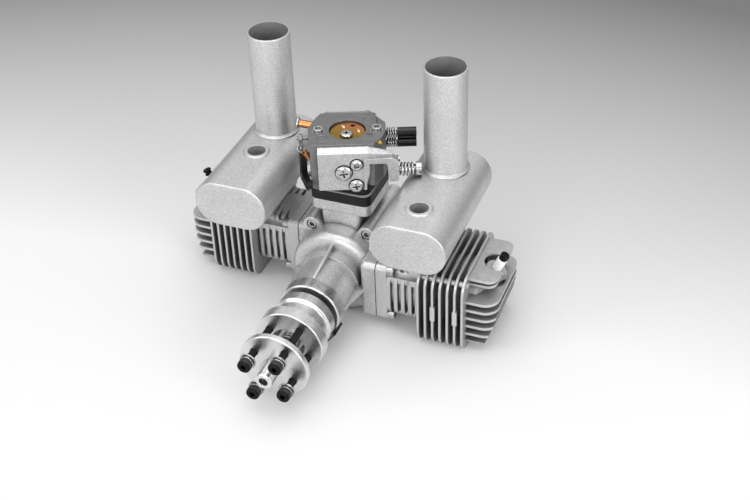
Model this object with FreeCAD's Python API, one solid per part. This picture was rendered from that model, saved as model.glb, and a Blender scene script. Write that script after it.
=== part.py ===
import FreeCAD, Part
import math
import os

V = FreeCAD.Vector

# Flat twin two-stroke aircraft engine, millimetres.
# X runs along the cylinders, +Y to the rear mounting face, +Z up, origin on the crank axis
# at the rear mounting face. The propeller end points to -Y.

# Clearances and gaskets
RUNNING = 0.05
SLIDING = 0.08
SCREW_GAP = 0.1
LOOSE = 0.3
GASKET = 0.5

# Crank train
STROKE = 25.0
BORE_R = 14.5
ROD_LENGTH = 49.8
RIGHT_Y = -44.0
LEFT_Y = -21.0
PIN_R = 4.0
PIN_HALF = 4.0
WEB_R = 18.4
WEB_THICK = 4.0
JOURNAL_R = 6.0
NOSE_SHAFT_R = 5.0
TIP_R = 3.0
TIP_LENGTH = 8.0

# Crankcase
CHAMBER_R = 19.0
CHAMBER_GAP = 0.4
DRUM_R = 25.5
DRUM_WALL = 4.6
DRUM_EDGE_R = 5.0
CASE_BOTTOM_Z = -22.25
CASE_SIDE_X = 27.0
CASE_REAR_Y = -2.5
PAD_EDGE_R = 3.2
LUMP_INNER_X = 18.5
LUMP_EDGE_R = 2.5
NOSE_ROOT_R = 17.4
NOSE_R = 16.3
NOSE_ROOT_LENGTH = 7.0
NOSE_RING_R = 16.9
NOSE_RING_Y = -83.2
NOSE_FRONT_Y = -90.9
NOSE_BORE_R = 10.0
RIB_THICK = 1.6
RIB_RISE = 4.6
SIDE_RIB_RISE = 6.5
SPLIT_Y = -35.0
WINDOW_R = 8.2
BOSS_R = 4.7
CASE_SCREW_R = 1.5
CASE_HEAD_R = 2.75
CASE_HEAD_H = 3.0
TOP_SCREW_X = 16.0
TOP_SCREW_Z = 23.5
LEFT_SCREW_X = -20.8
LEFT_SCREW_Z = -16.5
RIGHT_SCREW_X = 12.8
RIGHT_SCREW_Z = -18.7
BOSS_FRONT_Y = -47.0
LOW_BOSS_FRONT_Y = -53.0
SCREW_BITE = 8.0
MOUNT_SPACING = 31.0
MOUNT_HOLE_R = 2.1
MOUNT_HOLE_DEPTH = 8.5
MOUNT_BOSS_R = 5.5

# Bearings and seal
BEARING_R = 14.0
BEARING_WIDTH = 8.0
NOSE_BEARING_R = 12.0
NOSE_BEARING_WIDTH = 6.0
RACE_WALL = 2.4
RING_FIT = 0.02
SEAL_WIDTH = 4.0

# Intake tower
TOWER_FRONT_Y = -45.0
TOWER_DEPTH = 34.0
TOWER_MARGIN = 3.6
TOWER_TOP_Z = 40.0
FLANGE_THICK = 7.0
FLANGE_CORNER_R = 4.5
NECK_WIDTH = 22.6
NECK_SETBACK = 1.0
WELL_WIDTH = 18.0
WELL_DEPTH = 20.0
WELL_FRONT_WALL = 7.5
WELL_FLOOR_Z = 26.0
REED_PLATE = 1.8
REED_DROP = 14.0
PETAL = 0.3

# Cylinders, measured from the crank axis outwards
SPIGOT_R = 15.9
SPIGOT_LENGTH = 4.0
BASE_WIDTH = 40.5
BASE_HEIGHT = 35.5
BASE_THICK = 6.1
BASE_INSET_Y = 2.65
BASE_INSET_Z = 3.15
BASE_SPACING_Y = BASE_WIDTH - 2 * BASE_INSET_Y
BASE_SPACING_Z = BASE_HEIGHT - 2 * BASE_INSET_Z
BASE_BITE = 4.4
BASE_SCREW_R = 1.75
BASE_HEAD_R = 2.75
BASE_HEAD_H = 3.8
FIN_COUNT = 7
FIN_PITCH = 4.07
FIN_THICK = 1.3
FIRST_FIN_X = 53.7
FIN_WIDTH = 55.0
FIN_HEIGHT = 46.5
FIN_CORNER_R = 9.0
BARREL_R = 18.3
SHORT_FIN_COUNT = 5
SHORT_FIN_GAP = 1.9
SHORT_FIN_CORNER_R = 10.0
SHORT_BARREL_R = 18.0
BAND_LOW_Z = 8.5
BAND_HIGH_Z = 13.0
DAMPER_R = 1.6
DAMPER_Y = 21.0
DAMPER_Z = 18.5
TAB_HEIGHT = 9.0
TAB_Z = -0.3
TAB_THICK = 2.6
DECK_X = 76.8
DOME_RISE = 4.2
HEAD_CORE_X = 87.0
HEAD_END_X = 95.0
HEAD_WIDTH = 46.0
HEAD_FIN_THICK = 1.6
HEAD_FIN_PITCH = 5.2
HEAD_FIN_TOP_Z = 8.7
HEAD_FIN_COUNT = 6
CROWN_PLATE_Z = 21.0
CROWN_WIDTH = 37.4
CROWN_END_X = 93.2
LIP_PLATE_Z = 15.6

# Spark plug
PLUG_LEAN = 25.0
PLUG_SEAT = 9.0
PLUG_THREAD_R = 5.0
PLUG_REACH = 6.2
PLUG_HEX = 12.7
PLUG_TIP = 21.0
PLUG_BOSS_R = 8.2
SOCKET_R = 7.8

# Exhaust and silencers
PORT_X = 54.2
PORT_LENGTH = 7.0
PORT_WIDTH = 20.0
PORT_TOP_Z = 28.0
PORT_BLOCK_LENGTH = 17.0
PORT_BLOCK_WIDTH = 40.0
EXHAUST_SPACING = 31.0
EXHAUST_SCREW_R = 2.0
EXHAUST_HEAD_R = 3.5
EXHAUST_HEAD_H = 4.0
EXHAUST_BITE = 9.0
SILENCER_X = 51.05
SILENCER_WIDTH = 41.1
SILENCER_HEIGHT = 26.3
SILENCER_CORNER_R = 12.5
SILENCER_LENGTH = 79.9
SILENCER_WALL = 1.2
SILENCER_BOTTOM_Z = 30.8
SILENCER_EDGE_R = 1.0
RIGHT_SILENCER_Y = -78.9
LEFT_SILENCER_Y = -72.65
RIGHT_STACK = 61.4
LEFT_STACK = 62.5
STACK_R = 11.5
STACK_WALL = 1.0
STACK_TOP_Z = 117.0
ACCESS_R = 5.0
ACCESS_WALL = 1.0
ACCESS_COLLAR_R = 7.2
ACCESS_COLLAR_H = 0.8
WELD = 1.4

# Insulator stack under the carburettor
INSULATOR_TOP_Z = 46.3
SPACER_TOP_Z = 49.6
SPACER_INSET = 1.0
THROAT_R = 8.5

# Carburettor, in its own axes: u across, v back, turned about the bore
CARB_X = -0.2
CARB_Y = -28.1
CARB_TURN = 21.9
CARB_BOTTOM_Z = 50.0
CARB_TOP_Z = 76.0
CARB_SPACING = 31.0
CARB_SCREW_R = 2.0
CARB_HEAD_R = 3.4
CARB_SEAT_DEPTH = 0.7
CARB_CUT_REACH = 40.0
NEEDLE_HOLE_FROM_U = 14.0
NEEDLE_HOLE_TO_U = 30.0
CARB_OUTLINE = ((-14.6, 17.4), (14.5, 16.7), (20.3, 8.4), (20.3, -1.1), (18.6, -7.6),
                (13.6, -15.0), (-19.7, -15.0), (-20.7, -4.5), (-20.9, 2.3), (-17.9, 11.3))
MOUTH_R = 9.8
MOUTH_FLOOR_Z = 61.7
THROTTLE_BORE_R = 7.2
PLATE_THICK = 0.8
CHOKE_Z = 74.0
CHOKE_V = -3.8
CHOKE_SHAFT_R = 1.2
CHOKE_PLATE_R = 9.25
CHOKE_RIGHT_U = 12.0
CHOKE_LEVER_U = -25.8
THROTTLE_Z = 52.7
THROTTLE_SHAFT_R = 1.5
SHAFT_LEFT_U = -26.8
BELL_CRANK_THICK = 3.4
SHAFT_TURN = 16.0
COVER_FACE_V = -19.0
COVER_LEFT_U = -15.8
COVER_ARM_U = 26.6
COVER_LOW_Z = 50.4
COVER_FRONT_TOP_Z = 72.8
ARM_FACE_V = -19.6
ARM_LEFT_U = 8.2
COVER_TOP_Z = 74.8
RIDGE_Z = 69.6
RIDGE_LEFT_U = 10.5
RIDGE_RIGHT_U = 23.3
ARM_OUTLINE = ((RIDGE_RIGHT_U, RIDGE_Z), (26.4, 67.8), (26.6, 55.6), (21.5, 55.2), (20.5, 66.5),
               (11.3, 66.5), (11.3, 60.6), (9.6, 54.3), (9.5, COVER_LOW_Z))
IDLE_Z = 61.2
IDLE_V = -17.0
IDLE_R = 1.6
IDLE_HEAD_R = 3.8
IDLE_SPRING_LENGTH = 9.0
IDLE_TIP_U = 21.5
HIGH_NEEDLE_Z = 70.4
NEEDLE_DROP = 6.2
NEEDLE_V = 5.0
NEEDLE_R = 1.2
NEEDLE_CAP_R = 2.65
NEEDLE_CAP_LENGTH = 10.2
NEEDLE_SPRING_R = 2.9
NEEDLE_SPRING_LENGTH = 6.2
SPRING_WIRE = 0.8
METER_THICK = 5.0
METER_WIDTH = 27.0
METER_TOP_Z = 75.7
METER_LOW_Z = 50.8
METER_SCREW_U = 10.8
METER_SCREW_Z = (53.0, 73.2)
METER_SCREW_R = 1.1
METER_HEAD_R = 2.4
SHELF_U = 15.3
SHELF_V = 4.6
SHELF_Z = 74.6
MARK_R = 2.6
MARK_DEPTH = 0.2
MARKS = ((11.3, 9.4), (-13.2, -8.0))
SLOT_PLACE = (11.9, -5.4)
SLOT_R = 1.4
SLOT_DEPTH = 0.5
NIPPLE_PLACE = (-16.25, 14.35, 69.8)
NIPPLE_AXIS = (-0.975, 0.188, 0.122)
NIPPLE_R = 2.1
NIPPLE_ROOT_R = 2.4
NIPPLE_BORE_R = 1.0
NIPPLE_REACH = 12.0
NIPPLE_ROUND = 0.6
NIPPLE_PRESSED = 3.5

# Propeller drive
HUB_REAR_Y = -93.8
COLLAR_R = 16.0
COLLAR_LENGTH = 6.3
HUB_NECK_R = 14.6
HUB_FLANGE_R = 18.8
HUB_FLANGE_THICK = 7.2
HUB_FRONT_Y = -117.7
RECESS_R = 9.1
RECESS_DEPTH = 9.5
PROP_PCD = 24.5
PROP_PHASE = 56.0
PROP_BOLT_R = 2.0
PROP_HEAD_R = 3.6
PROP_HEAD_H = 4.0
PROP_HEAD_Y = -145.0
PROP_BOLT_BITE = 10.0
DISC_R = 18.8
DISC_THICK = 3.5
DISC_FRONT_Y = -136.5
STUB_R = 4.7
STUB_ROOT_R = 4.9
STUB_STEP_Y = -137.3
STUB_FRONT_Y = -148.6
STUB_HOLE_R = 2.5
STUB_HOLE_DEPTH = 12.0
NUT_HEX = 13.0
NUT_THICK = 6.0
NUT_WASHER = 1.0
PICKUP_ANGLE = -36.0
PICKUP_WIDTH = 5.0
PICKUP_RISE = 1.2
PICKUP_FRONT_Y = -97.0
PICKUP_SLOPE = 2.5
PICKUP_REAR_Y = -84.5

# Pistons
CROWN_HEIGHT = 14.0
SKIRT = 10.0
PISTON_WALL = 2.0
CROWN_THICK = 3.0
RING_WIDTH = 1.2
RING_DEPTH = 1.1
RING_FROM_CROWN = (2.2, 5.2)
WRIST_R = 4.0
WRIST_WALL = 1.4
WRIST_HALF = 12.4
WRIST_BOSS_R = 6.4

# Places that follow from the sizes above
CRANK_R = STROKE / 2
CHAMBER_FRONT_Y = RIGHT_Y - PIN_HALF - WEB_THICK - CHAMBER_GAP
CHAMBER_REAR_Y = LEFT_Y + PIN_HALF + WEB_THICK + CHAMBER_GAP
DRUM_FRONT_Y = CHAMBER_FRONT_Y - DRUM_WALL
FRONT_BEARING_Y = CHAMBER_FRONT_Y - BEARING_WIDTH
REAR_BEARING_Y = CHAMBER_REAR_Y + RUNNING
SEAL_Y = NOSE_FRONT_Y
NOSE_BEARING_Y = SEAL_Y + SEAL_WIDTH
BASE_X = CASE_SIDE_X + GASKET
FLANGE_OUT_X = BASE_X + BASE_THICK
LAST_FIN_X = FIRST_FIN_X + (FIN_COUNT - 1) * FIN_PITCH
PISTON_PIN_X = math.sqrt(ROD_LENGTH ** 2 - CRANK_R ** 2)
PORT_CENTRE_X = (PORT_X + SILENCER_X) / 2
SILENCER_TOP_Z = SILENCER_BOTTOM_Z + SILENCER_HEIGHT
NECK_FRONT_Y = TOWER_FRONT_Y + NECK_SETBACK
TOWER_REAR_Y = TOWER_FRONT_Y + TOWER_DEPTH
TOWER_WIDTH = CARB_SPACING + TOWER_MARGIN
WELL_FRONT_Y = TOWER_FRONT_Y + WELL_FRONT_WALL
WELL_REAR_Y = WELL_FRONT_Y + WELL_DEPTH
NUT_REAR_Y = HUB_FRONT_Y + RECESS_DEPTH
SHAFT_END_Y = HUB_FRONT_Y - LOOSE
LOW_NEEDLE_Z = HIGH_NEEDLE_Z - NEEDLE_DROP


def block(x_from, x_to, y_from, y_to, z_from, z_to):
    """Plain block between two corners."""
    return Part.makeBox(x_to - x_from, y_to - y_from, z_to - z_from, V(x_from, y_from, z_from))


def rounded_block(x_from, x_to, y_from, y_to, z_from, z_to, axis, radius):
    """Block whose four edges along one axis are rounded."""
    body = block(x_from, x_to, y_from, y_to, z_from, z_to)
    return body.makeFillet(radius, edges_along(body, axis))


def edges_along(body, axis):
    """Straight edges that run along the x, y or z axis."""
    along = {"x": V(1, 0, 0), "y": V(0, 1, 0), "z": V(0, 0, 1)}[axis]
    return [edge for edge in body.Edges
            if isinstance(edge.Curve, Part.Line) and abs(edge.Curve.Direction.dot(along)) > 0.999]


def x_cylinder(radius, x_from, x_to, y=0.0, z=0.0):
    """Cylinder along X."""
    return Part.makeCylinder(radius, x_to - x_from, V(x_from, y, z), V(1, 0, 0))


def y_cylinder(radius, y_from, y_to, x=0.0, z=0.0):
    """Cylinder along Y."""
    return Part.makeCylinder(radius, y_to - y_from, V(x, y_from, z), V(0, 1, 0))


def z_cylinder(radius, z_from, z_to, x=0.0, y=0.0):
    """Cylinder along Z."""
    return Part.makeCylinder(radius, z_to - z_from, V(x, y, z_from), V(0, 0, 1))


def turned(points, start, along, outward):
    """Solid turned about a line: each point is (distance along the line, radius)."""
    corners = [start + along * reach + outward * radius for reach, radius in points]
    section = Part.Face(Part.makePolygon(corners + corners[:1]))
    solid = section.revolve(start, along, 360)
    if solid.Volume < 0:
        solid.reverse()
    return solid


def turned_y(points):
    """Solid turned about the crank axis: each point is (y, radius)."""
    return turned(points, V(0, 0, 0), V(0, 1, 0), V(1, 0, 0))


def turned_x(points):
    """Solid turned about a cylinder axis: each point is (x, radius)."""
    return turned(points, V(0, 0, 0), V(1, 0, 0), V(0, 0, 1))


def turned_z(points):
    """Solid turned about the Z axis: each point is (z, radius)."""
    return turned(points, V(0, 0, 0), V(0, 0, 1), V(1, 0, 0))


def hexagon(across_flats, z_from, z_to):
    """Hexagonal prism along Z."""
    corner_r = across_flats / math.sqrt(3)
    corners = [V(corner_r * math.cos(math.radians(60 * k)),
                 corner_r * math.sin(math.radians(60 * k)), z_from) for k in range(7)]
    return Part.Face(Part.makePolygon(corners)).extrude(V(0, 0, z_to - z_from))


def aimed(shape, position, direction):
    """Copy of a part built along +Z, turned to a direction and moved to a position."""
    placed = shape.copy()
    turn = FreeCAD.Rotation(V(0, 0, 1), V(*direction))
    placed.Placement = FreeCAD.Placement(V(*position), turn).multiply(placed.Placement)
    return placed


def socket_screw(shank_r, shank_length, head_r, head_h):
    """Socket head screw along +Z with the underside of its head at z = 0."""
    chamfer = 0.12 * head_h
    screw = turned_z([(-shank_length, 0), (-shank_length, shank_r), (0, shank_r), (0, head_r),
                      (head_h - chamfer, head_r), (head_h, head_r - chamfer), (head_h, 0)])
    return screw.cut(hexagon(1.05 * head_r, 0.5 * head_h, 2 * head_h))


def spring_sleeve(outer_r, length, wire):
    """Closed spring along +Z as a ridged sleeve, one ridge for each coil."""
    coils = max(2, int(round(length / (1.35 * wire))))
    pitch = length / coils
    points = [(0, outer_r - wire)]
    for k in range(coils):
        points.append((k * pitch, outer_r - 0.6 * wire))
        points.append(((k + 0.5) * pitch, outer_r))
    points += [(length, outer_r - 0.6 * wire), (length, outer_r - wire)]
    return turned_z(points)


def to_side(shape, side):
    """Part built about a cylinder axis along +X, moved to the right or the left cylinder."""
    placed = shape.copy()
    if side == "left":
        placed.rotate(V(0, 0, 0), V(0, 0, 1), 180)
    placed.translate(V(0, {"right": RIGHT_Y, "left": LEFT_Y}[side], 0))
    return placed


def both_sides(shape):
    """The same part on both cylinders."""
    return [to_side(shape, "right"), to_side(shape, "left")]


def on_carb(shape):
    """Part built in the carburettor's own axes, turned and moved onto the engine."""
    placed = shape.copy()
    placed.rotate(V(0, 0, 0), V(0, 0, 1), CARB_TURN)
    placed.translate(V(CARB_X, CARB_Y, 0))
    return placed


def corner_points(first, second):
    """Four corners of a rectangular pattern."""
    return [(first / 2, second / 2), (-first / 2, second / 2), (-first / 2, -second / 2),
            (first / 2, -second / 2)]


def base_points():
    """Places of the cylinder base screws as (y, z) from the cylinder axis."""
    return corner_points(BASE_SPACING_Y, BASE_SPACING_Z)


def prop_bolt_points():
    """Places of the propeller bolts round the crank axis."""
    angles = [math.radians(PROP_PHASE + 90 * k) for k in range(4)]
    return [(PROP_PCD / 2 * math.cos(a), PROP_PCD / 2 * math.sin(a)) for a in angles]


def case_screw_places():
    """Case screws as (x, z, y of the face they enter)."""
    return [(TOP_SCREW_X, TOP_SCREW_Z, BOSS_FRONT_Y), (-TOP_SCREW_X, TOP_SCREW_Z, BOSS_FRONT_Y),
            (LEFT_SCREW_X, LEFT_SCREW_Z, BOSS_FRONT_Y),
            (RIGHT_SCREW_X, RIGHT_SCREW_Z, LOW_BOSS_FRONT_Y)]


def crankcase_body():
    """Outside of the closed crankcase with its nose, before it is bored and split."""
    drum = y_cylinder(DRUM_R, DRUM_FRONT_Y, CASE_REAR_Y)
    rim = [edge for edge in drum.Edges if abs(edge.CenterOfMass.y - DRUM_FRONT_Y) < 0.01
           and isinstance(edge.Curve, Part.Circle)]
    drum = drum.makeFillet(DRUM_EDGE_R, rim)
    half = BASE_WIDTH / 2
    half_z = BASE_HEIGHT / 2
    right_pad = rounded_block(0, CASE_SIDE_X, DRUM_FRONT_Y + DRUM_EDGE_R, RIGHT_Y + half,
                              -half_z, half_z, "x", PAD_EDGE_R)
    lump = rounded_block(LUMP_INNER_X, CASE_SIDE_X, RIGHT_Y - half, RIGHT_Y + half,
                         -half_z, half_z, "x", PAD_EDGE_R)
    front_inner = [edge for edge in lump.Edges if abs(edge.CenterOfMass.x - LUMP_INNER_X) < 0.01
                   and edge.CenterOfMass.y < RIGHT_Y]
    lump = lump.makeFillet(LUMP_EDGE_R, front_inner)
    left_pad = rounded_block(-CASE_SIDE_X, 0, LEFT_Y - half, LEFT_Y + half, -half_z, half_z,
                             "x", PAD_EDGE_R)
    body = drum.fuse([right_pad, lump, left_pad])
    lobes = []
    for x, z, face_y in case_screw_places():
        lobes.append(y_cylinder(BOSS_R, face_y, CASE_REAR_Y, x, z))
        web = block(-BOSS_R, BOSS_R, face_y, CASE_REAR_Y, -14, 0)
        web.rotate(V(0, 0, 0), V(0, 1, 0), math.degrees(math.atan2(x, z)))
        web.translate(V(x, 0, z))
        lobes.append(web)
    body = body.fuse(lobes).cut(block(-99, 99, -99, 9, -99, CASE_BOTTOM_Z))
    bosses = [y_cylinder(MOUNT_BOSS_R, CASE_REAR_Y - 1, 0, x, z)
              for x, z in corner_points(MOUNT_SPACING, MOUNT_SPACING)]
    nose_root_y = DRUM_FRONT_Y - NOSE_ROOT_LENGTH
    nose = turned_y([(DRUM_FRONT_Y + 1, 0), (DRUM_FRONT_Y + 1, NOSE_ROOT_R),
                     (nose_root_y, NOSE_ROOT_R), (nose_root_y, NOSE_R), (NOSE_RING_Y, NOSE_R),
                     (NOSE_RING_Y, NOSE_RING_R), (NOSE_FRONT_Y + 0.6, NOSE_RING_R),
                     (NOSE_FRONT_Y, NOSE_RING_R - 0.6), (NOSE_FRONT_Y, 0)])
    return body.fuse(bosses + [nose] + nose_ribs())


def nose_ribs():
    """Thin ribs between the drum and the nose: one on top, one below, one each side."""
    ribs = []
    for turn, rise in ((0, RIB_RISE), (90, SIDE_RIB_RISE), (180, RIB_RISE), (-90, SIDE_RIB_RISE)):
        foot = NOSE_R - 2
        outline = [(DRUM_FRONT_Y + 1, foot), (DRUM_FRONT_Y + 1, NOSE_R + rise),
                   (NOSE_RING_Y + 0.5, NOSE_R + 0.4), (NOSE_RING_Y + 0.5, foot)]
        corners = [V(-RIB_THICK / 2, y, z) for y, z in outline]
        rib = Part.Face(Part.makePolygon(corners + corners[:1])).extrude(V(RIB_THICK, 0, 0))
        rib.rotate(V(0, 0, 0), V(0, 1, 0), turn)
        ribs.append(rib)
    return ribs


def crankcase_bores():
    """Everything bored out of the crankcase: chamber, bearings, spigots, screw holes."""
    bores = [y_cylinder(CHAMBER_R, CHAMBER_FRONT_Y, CHAMBER_REAR_Y),
             y_cylinder(BEARING_R + RUNNING, FRONT_BEARING_Y, CHAMBER_FRONT_Y + 1),
             y_cylinder(BEARING_R + RUNNING, CHAMBER_REAR_Y - 1, REAR_BEARING_Y + BEARING_WIDTH),
             y_cylinder(NOSE_BORE_R, NOSE_BEARING_Y, FRONT_BEARING_Y + 1),
             y_cylinder(NOSE_BEARING_R + RUNNING, NOSE_FRONT_Y - 1,
                        NOSE_BEARING_Y + NOSE_BEARING_WIDTH)]
    spigot_floor = CASE_SIDE_X - SPIGOT_LENGTH - LOOSE
    mouth = x_cylinder(SPIGOT_R + RUNNING, spigot_floor, CASE_SIDE_X + 1)
    bores += both_sides(mouth.fuse(x_cylinder(WINDOW_R, 0, CASE_SIDE_X)))
    for y, z in base_points():
        hole = x_cylinder(BASE_SCREW_R + SCREW_GAP, CASE_SIDE_X - BASE_BITE - 0.2, CASE_SIDE_X + 1, y, z)
        bores += both_sides(hole)
    for x, z, face_y in case_screw_places():
        bores.append(y_cylinder(CASE_HEAD_R + LOOSE, face_y - 1, face_y + CASE_HEAD_H + 0.2, x, z))
        bores.append(y_cylinder(CASE_SCREW_R + SCREW_GAP, face_y, SPLIT_Y + SCREW_BITE + 1, x, z))
    for x, z in corner_points(MOUNT_SPACING, MOUNT_SPACING):
        bores.append(y_cylinder(MOUNT_HOLE_R, -MOUNT_HOLE_DEPTH, 1, x, z))
    return bores


def intake_tower():
    """Square intake flange on its waisted neck, above the case."""
    half_flange = TOWER_WIDTH / 2
    half_neck = NECK_WIDTH / 2
    flange = rounded_block(-half_flange, half_flange, TOWER_FRONT_Y, TOWER_REAR_Y,
                           TOWER_TOP_Z - FLANGE_THICK, TOWER_TOP_Z, "z", FLANGE_CORNER_R)
    under = [edge for edge in flange.Edges
             if abs(edge.CenterOfMass.z - (TOWER_TOP_Z - FLANGE_THICK)) < 0.01]
    flange = flange.makeFillet(1.5, under)
    neck = rounded_block(-half_neck, half_neck, NECK_FRONT_Y, TOWER_REAR_Y - NECK_SETBACK,
                         CHAMBER_R - 7, TOWER_TOP_Z - 1, "z", 2.5)
    return flange.fuse(neck)


def intake_well():
    """Reed well through the tower down into the crank chamber."""
    half = WELL_WIDTH / 2
    well = block(-half, half, WELL_FRONT_Y, WELL_REAR_Y, WELL_FLOOR_Z, TOWER_TOP_Z + 1)
    throat = block(-half + 1, half - 1, SPLIT_Y + 1, WELL_REAR_Y - 1, 0, WELL_FLOOR_Z + 1)
    return well.fuse(throat)


def carb_screw_holes(radius, z_from, z_to):
    """Two holes for the long carburettor screws."""
    return [on_carb(z_cylinder(radius, z_from, z_to, u, 0))
            for u in (-CARB_SPACING / 2, CARB_SPACING / 2)]


def crankcase_halves():
    """Front half with drum face and nose, rear half with the intake tower."""
    body = crankcase_body()
    bores = crankcase_bores()
    front = body.cut(block(-99, 99, SPLIT_Y, 99, -99, 99))
    tower = intake_tower()
    keep_out = y_cylinder(DRUM_R + RUNNING, DRUM_FRONT_Y, SPLIT_Y)
    overhang = tower.common(block(-99, 99, -99, SPLIT_Y, 0, 99)).cut(keep_out)
    front = front.cut([overhang] + bores)
    rear = body.common(block(-99, 99, SPLIT_Y, 99, -99, 99))
    rear = rear.fuse([tower.common(block(-99, 99, SPLIT_Y, 99, 0, 99)), overhang])
    chamber_top = [y_cylinder(CHAMBER_R, SPLIT_Y, CHAMBER_REAR_Y)]
    tapped = carb_screw_holes(CARB_SCREW_R + SCREW_GAP, TOWER_TOP_Z - SCREW_BITE - 1, TOWER_TOP_Z + 1)
    rear = rear.cut(bores + chamber_top + [intake_well()] + tapped)
    return front, rear


def bearing_rings(inner_r, outer_r, width, y_rear_end):
    """Shielded ball bearing as its outer ring with shields and its inner ring."""
    front = y_rear_end
    back = y_rear_end + width
    track_in = inner_r + RACE_WALL
    track_out = outer_r - RACE_WALL
    lip = track_in + 2 * RUNNING
    shield = 0.5
    outer = turned_y([(front, lip), (front, outer_r), (back, outer_r), (back, lip),
                      (back - shield, lip), (back - shield, track_out),
                      (front + shield, track_out), (front + shield, lip)])
    inner = turned_y([(front, inner_r), (front, track_in), (back, track_in), (back, inner_r)])
    return outer, inner


def bearings():
    """Outer rings in the case and inner rings on the shaft, rear, front and nose."""
    places = ((BEARING_R, BEARING_WIDTH, REAR_BEARING_Y), (BEARING_R, BEARING_WIDTH, FRONT_BEARING_Y),
              (NOSE_BEARING_R, NOSE_BEARING_WIDTH, NOSE_BEARING_Y))
    rings = [bearing_rings(JOURNAL_R + RING_FIT, outer_r, width, y) for outer_r, width, y in places]
    return [ring[0] for ring in rings], [ring[1] for ring in rings]


def shaft_seal():
    """Lip seal that closes the nose in front of its bearing."""
    front = SEAL_Y
    back = SEAL_Y + SEAL_WIDTH - RUNNING
    lip = JOURNAL_R + RUNNING
    return turned_y([(front, lip + 1.2), (front, NOSE_BEARING_R), (back, NOSE_BEARING_R),
                     (back, lip + 2.4), (front + 1.6, lip + 2.4), (back - 0.6, lip),
                     (front + 0.8, lip)])


def case_screws():
    """Socket head screws that hold the two case halves together."""
    screws = []
    for x, z, face_y in case_screw_places():
        seat_y = face_y + CASE_HEAD_H + 0.2
        screw = socket_screw(CASE_SCREW_R, SPLIT_Y + SCREW_BITE - seat_y, CASE_HEAD_R, CASE_HEAD_H)
        screws.append(aimed(screw, (x, seat_y, z), (0, -1, 0)))
    return screws


def reed_cage():
    """Wedge-shaped reed cage that hangs in the intake well."""
    half = WELL_WIDTH / 2 - SLIDING
    mid_y = (WELL_FRONT_Y + WELL_REAR_Y) / 2
    front = WELL_FRONT_Y + SLIDING
    back = WELL_REAR_Y - SLIDING
    plate = block(-half, half, front, back, TOWER_TOP_Z - REED_PLATE, TOWER_TOP_Z)
    top_z = TOWER_TOP_Z - REED_PLATE
    low_z = top_z - REED_DROP + 2
    slope = [(mid_y - 7, top_z), (mid_y + 7, top_z), (mid_y + 1.2, low_z), (mid_y - 1.2, low_z)]
    corners = [V(-half + 1, y, z) for y, z in slope]
    wedge = Part.Face(Part.makePolygon(corners + corners[:1])).extrude(V(2 * half - 2, 0, 0))
    inner = [V(-half + 2.2, mid_y - 5.2, top_z + 5), V(-half + 2.2, mid_y + 5.2, top_z + 5),
             V(-half + 2.2, mid_y + 5.2, top_z - 1), V(-half + 2.2, mid_y, low_z + 1.6),
             V(-half + 2.2, mid_y - 5.2, top_z - 1)]
    hollow = Part.Face(Part.makePolygon(inner + inner[:1])).extrude(V(2 * half - 4.4, 0, 0))
    cage = plate.fuse(wedge).cut(hollow)
    windows = [block(x, x + 4.6, mid_y - 8, mid_y + 8, low_z + 3, top_z - 2) for x in (-5.6, 1.0)]
    return cage.cut(windows)


def reed_petals():
    """Two thin reeds on the slopes of the cage."""
    mid_y = (WELL_FRONT_Y + WELL_REAR_Y) / 2
    top_z = TOWER_TOP_Z - REED_PLATE
    low_z = top_z - REED_DROP + 2
    petals = []
    for side in (-1, 1):
        gap = RUNNING
        outline = [(mid_y + side * (7 + gap), top_z - gap), (mid_y + side * (1.2 + gap), low_z),
                   (mid_y + side * (1.2 + gap + PETAL), low_z),
                   (mid_y + side * (7 + gap + PETAL), top_z - gap)]
        corners = [V(-6.2, y, z) for y, z in outline]
        petals.append(Part.Face(Part.makePolygon(corners + corners[:1])).extrude(V(12.4, 0, 0)))
    return petals


def intake_layer(z_from, z_to, inset=0.0):
    """One flat layer between the intake flange and the carburettor, with throat and screw holes."""
    half = TOWER_WIDTH / 2 - inset
    layer = rounded_block(-half, half, TOWER_FRONT_Y + inset, TOWER_REAR_Y - inset, z_from, z_to,
                          "z", FLANGE_CORNER_R)
    throat = z_cylinder(THROAT_R, z_from - 1, z_to + 1, CARB_X, CARB_Y)
    return layer.cut([throat] + carb_screw_holes(CARB_SCREW_R + SCREW_GAP, z_from - 1, z_to + 1))


def fin_plate(x_middle, thickness, width, height, corner_r):
    """One upright cooling fin round the cylinder axis."""
    return rounded_block(x_middle - thickness / 2, x_middle + thickness / 2, -width / 2, width / 2,
                         -height / 2, height / 2, "x", corner_r)


def plug_place(distance):
    """Point on the spark plug's axis, at a distance from the cylinder axis."""
    lean = math.radians(PLUG_LEAN)
    root_x = DECK_X + DOME_RISE - 0.6
    return (root_x + distance * math.sin(lean), 0, distance * math.cos(lean))


def plug_direction():
    """Direction in which the spark plug leans out of the head."""
    lean = math.radians(PLUG_LEAN)
    return (math.sin(lean), 0, math.cos(lean))


def head_envelope():
    """Space that the head fins fill: rounded in the end view and cut back at the lower end."""
    half_y = HEAD_WIDTH / 2
    end_view = rounded_block(LAST_FIN_X, HEAD_END_X, -half_y, half_y, -FIN_HEIGHT / 2,
                             FIN_HEIGHT / 2, "x", FIN_CORNER_R)
    outline = [V(LAST_FIN_X, -half_y, -FIN_HEIGHT / 2), V(HEAD_END_X - 8, -half_y, -FIN_HEIGHT / 2),
               V(HEAD_END_X - 1.5, -half_y, -6), V(HEAD_END_X, -half_y, 3),
               V(HEAD_END_X, -half_y, FIN_HEIGHT / 2), V(LAST_FIN_X, -half_y, FIN_HEIGHT / 2)]
    side_view = Part.Face(Part.makePolygon(outline + outline[:1])).extrude(V(0, HEAD_WIDTH, 0))
    return end_view.common(side_view)


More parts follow.
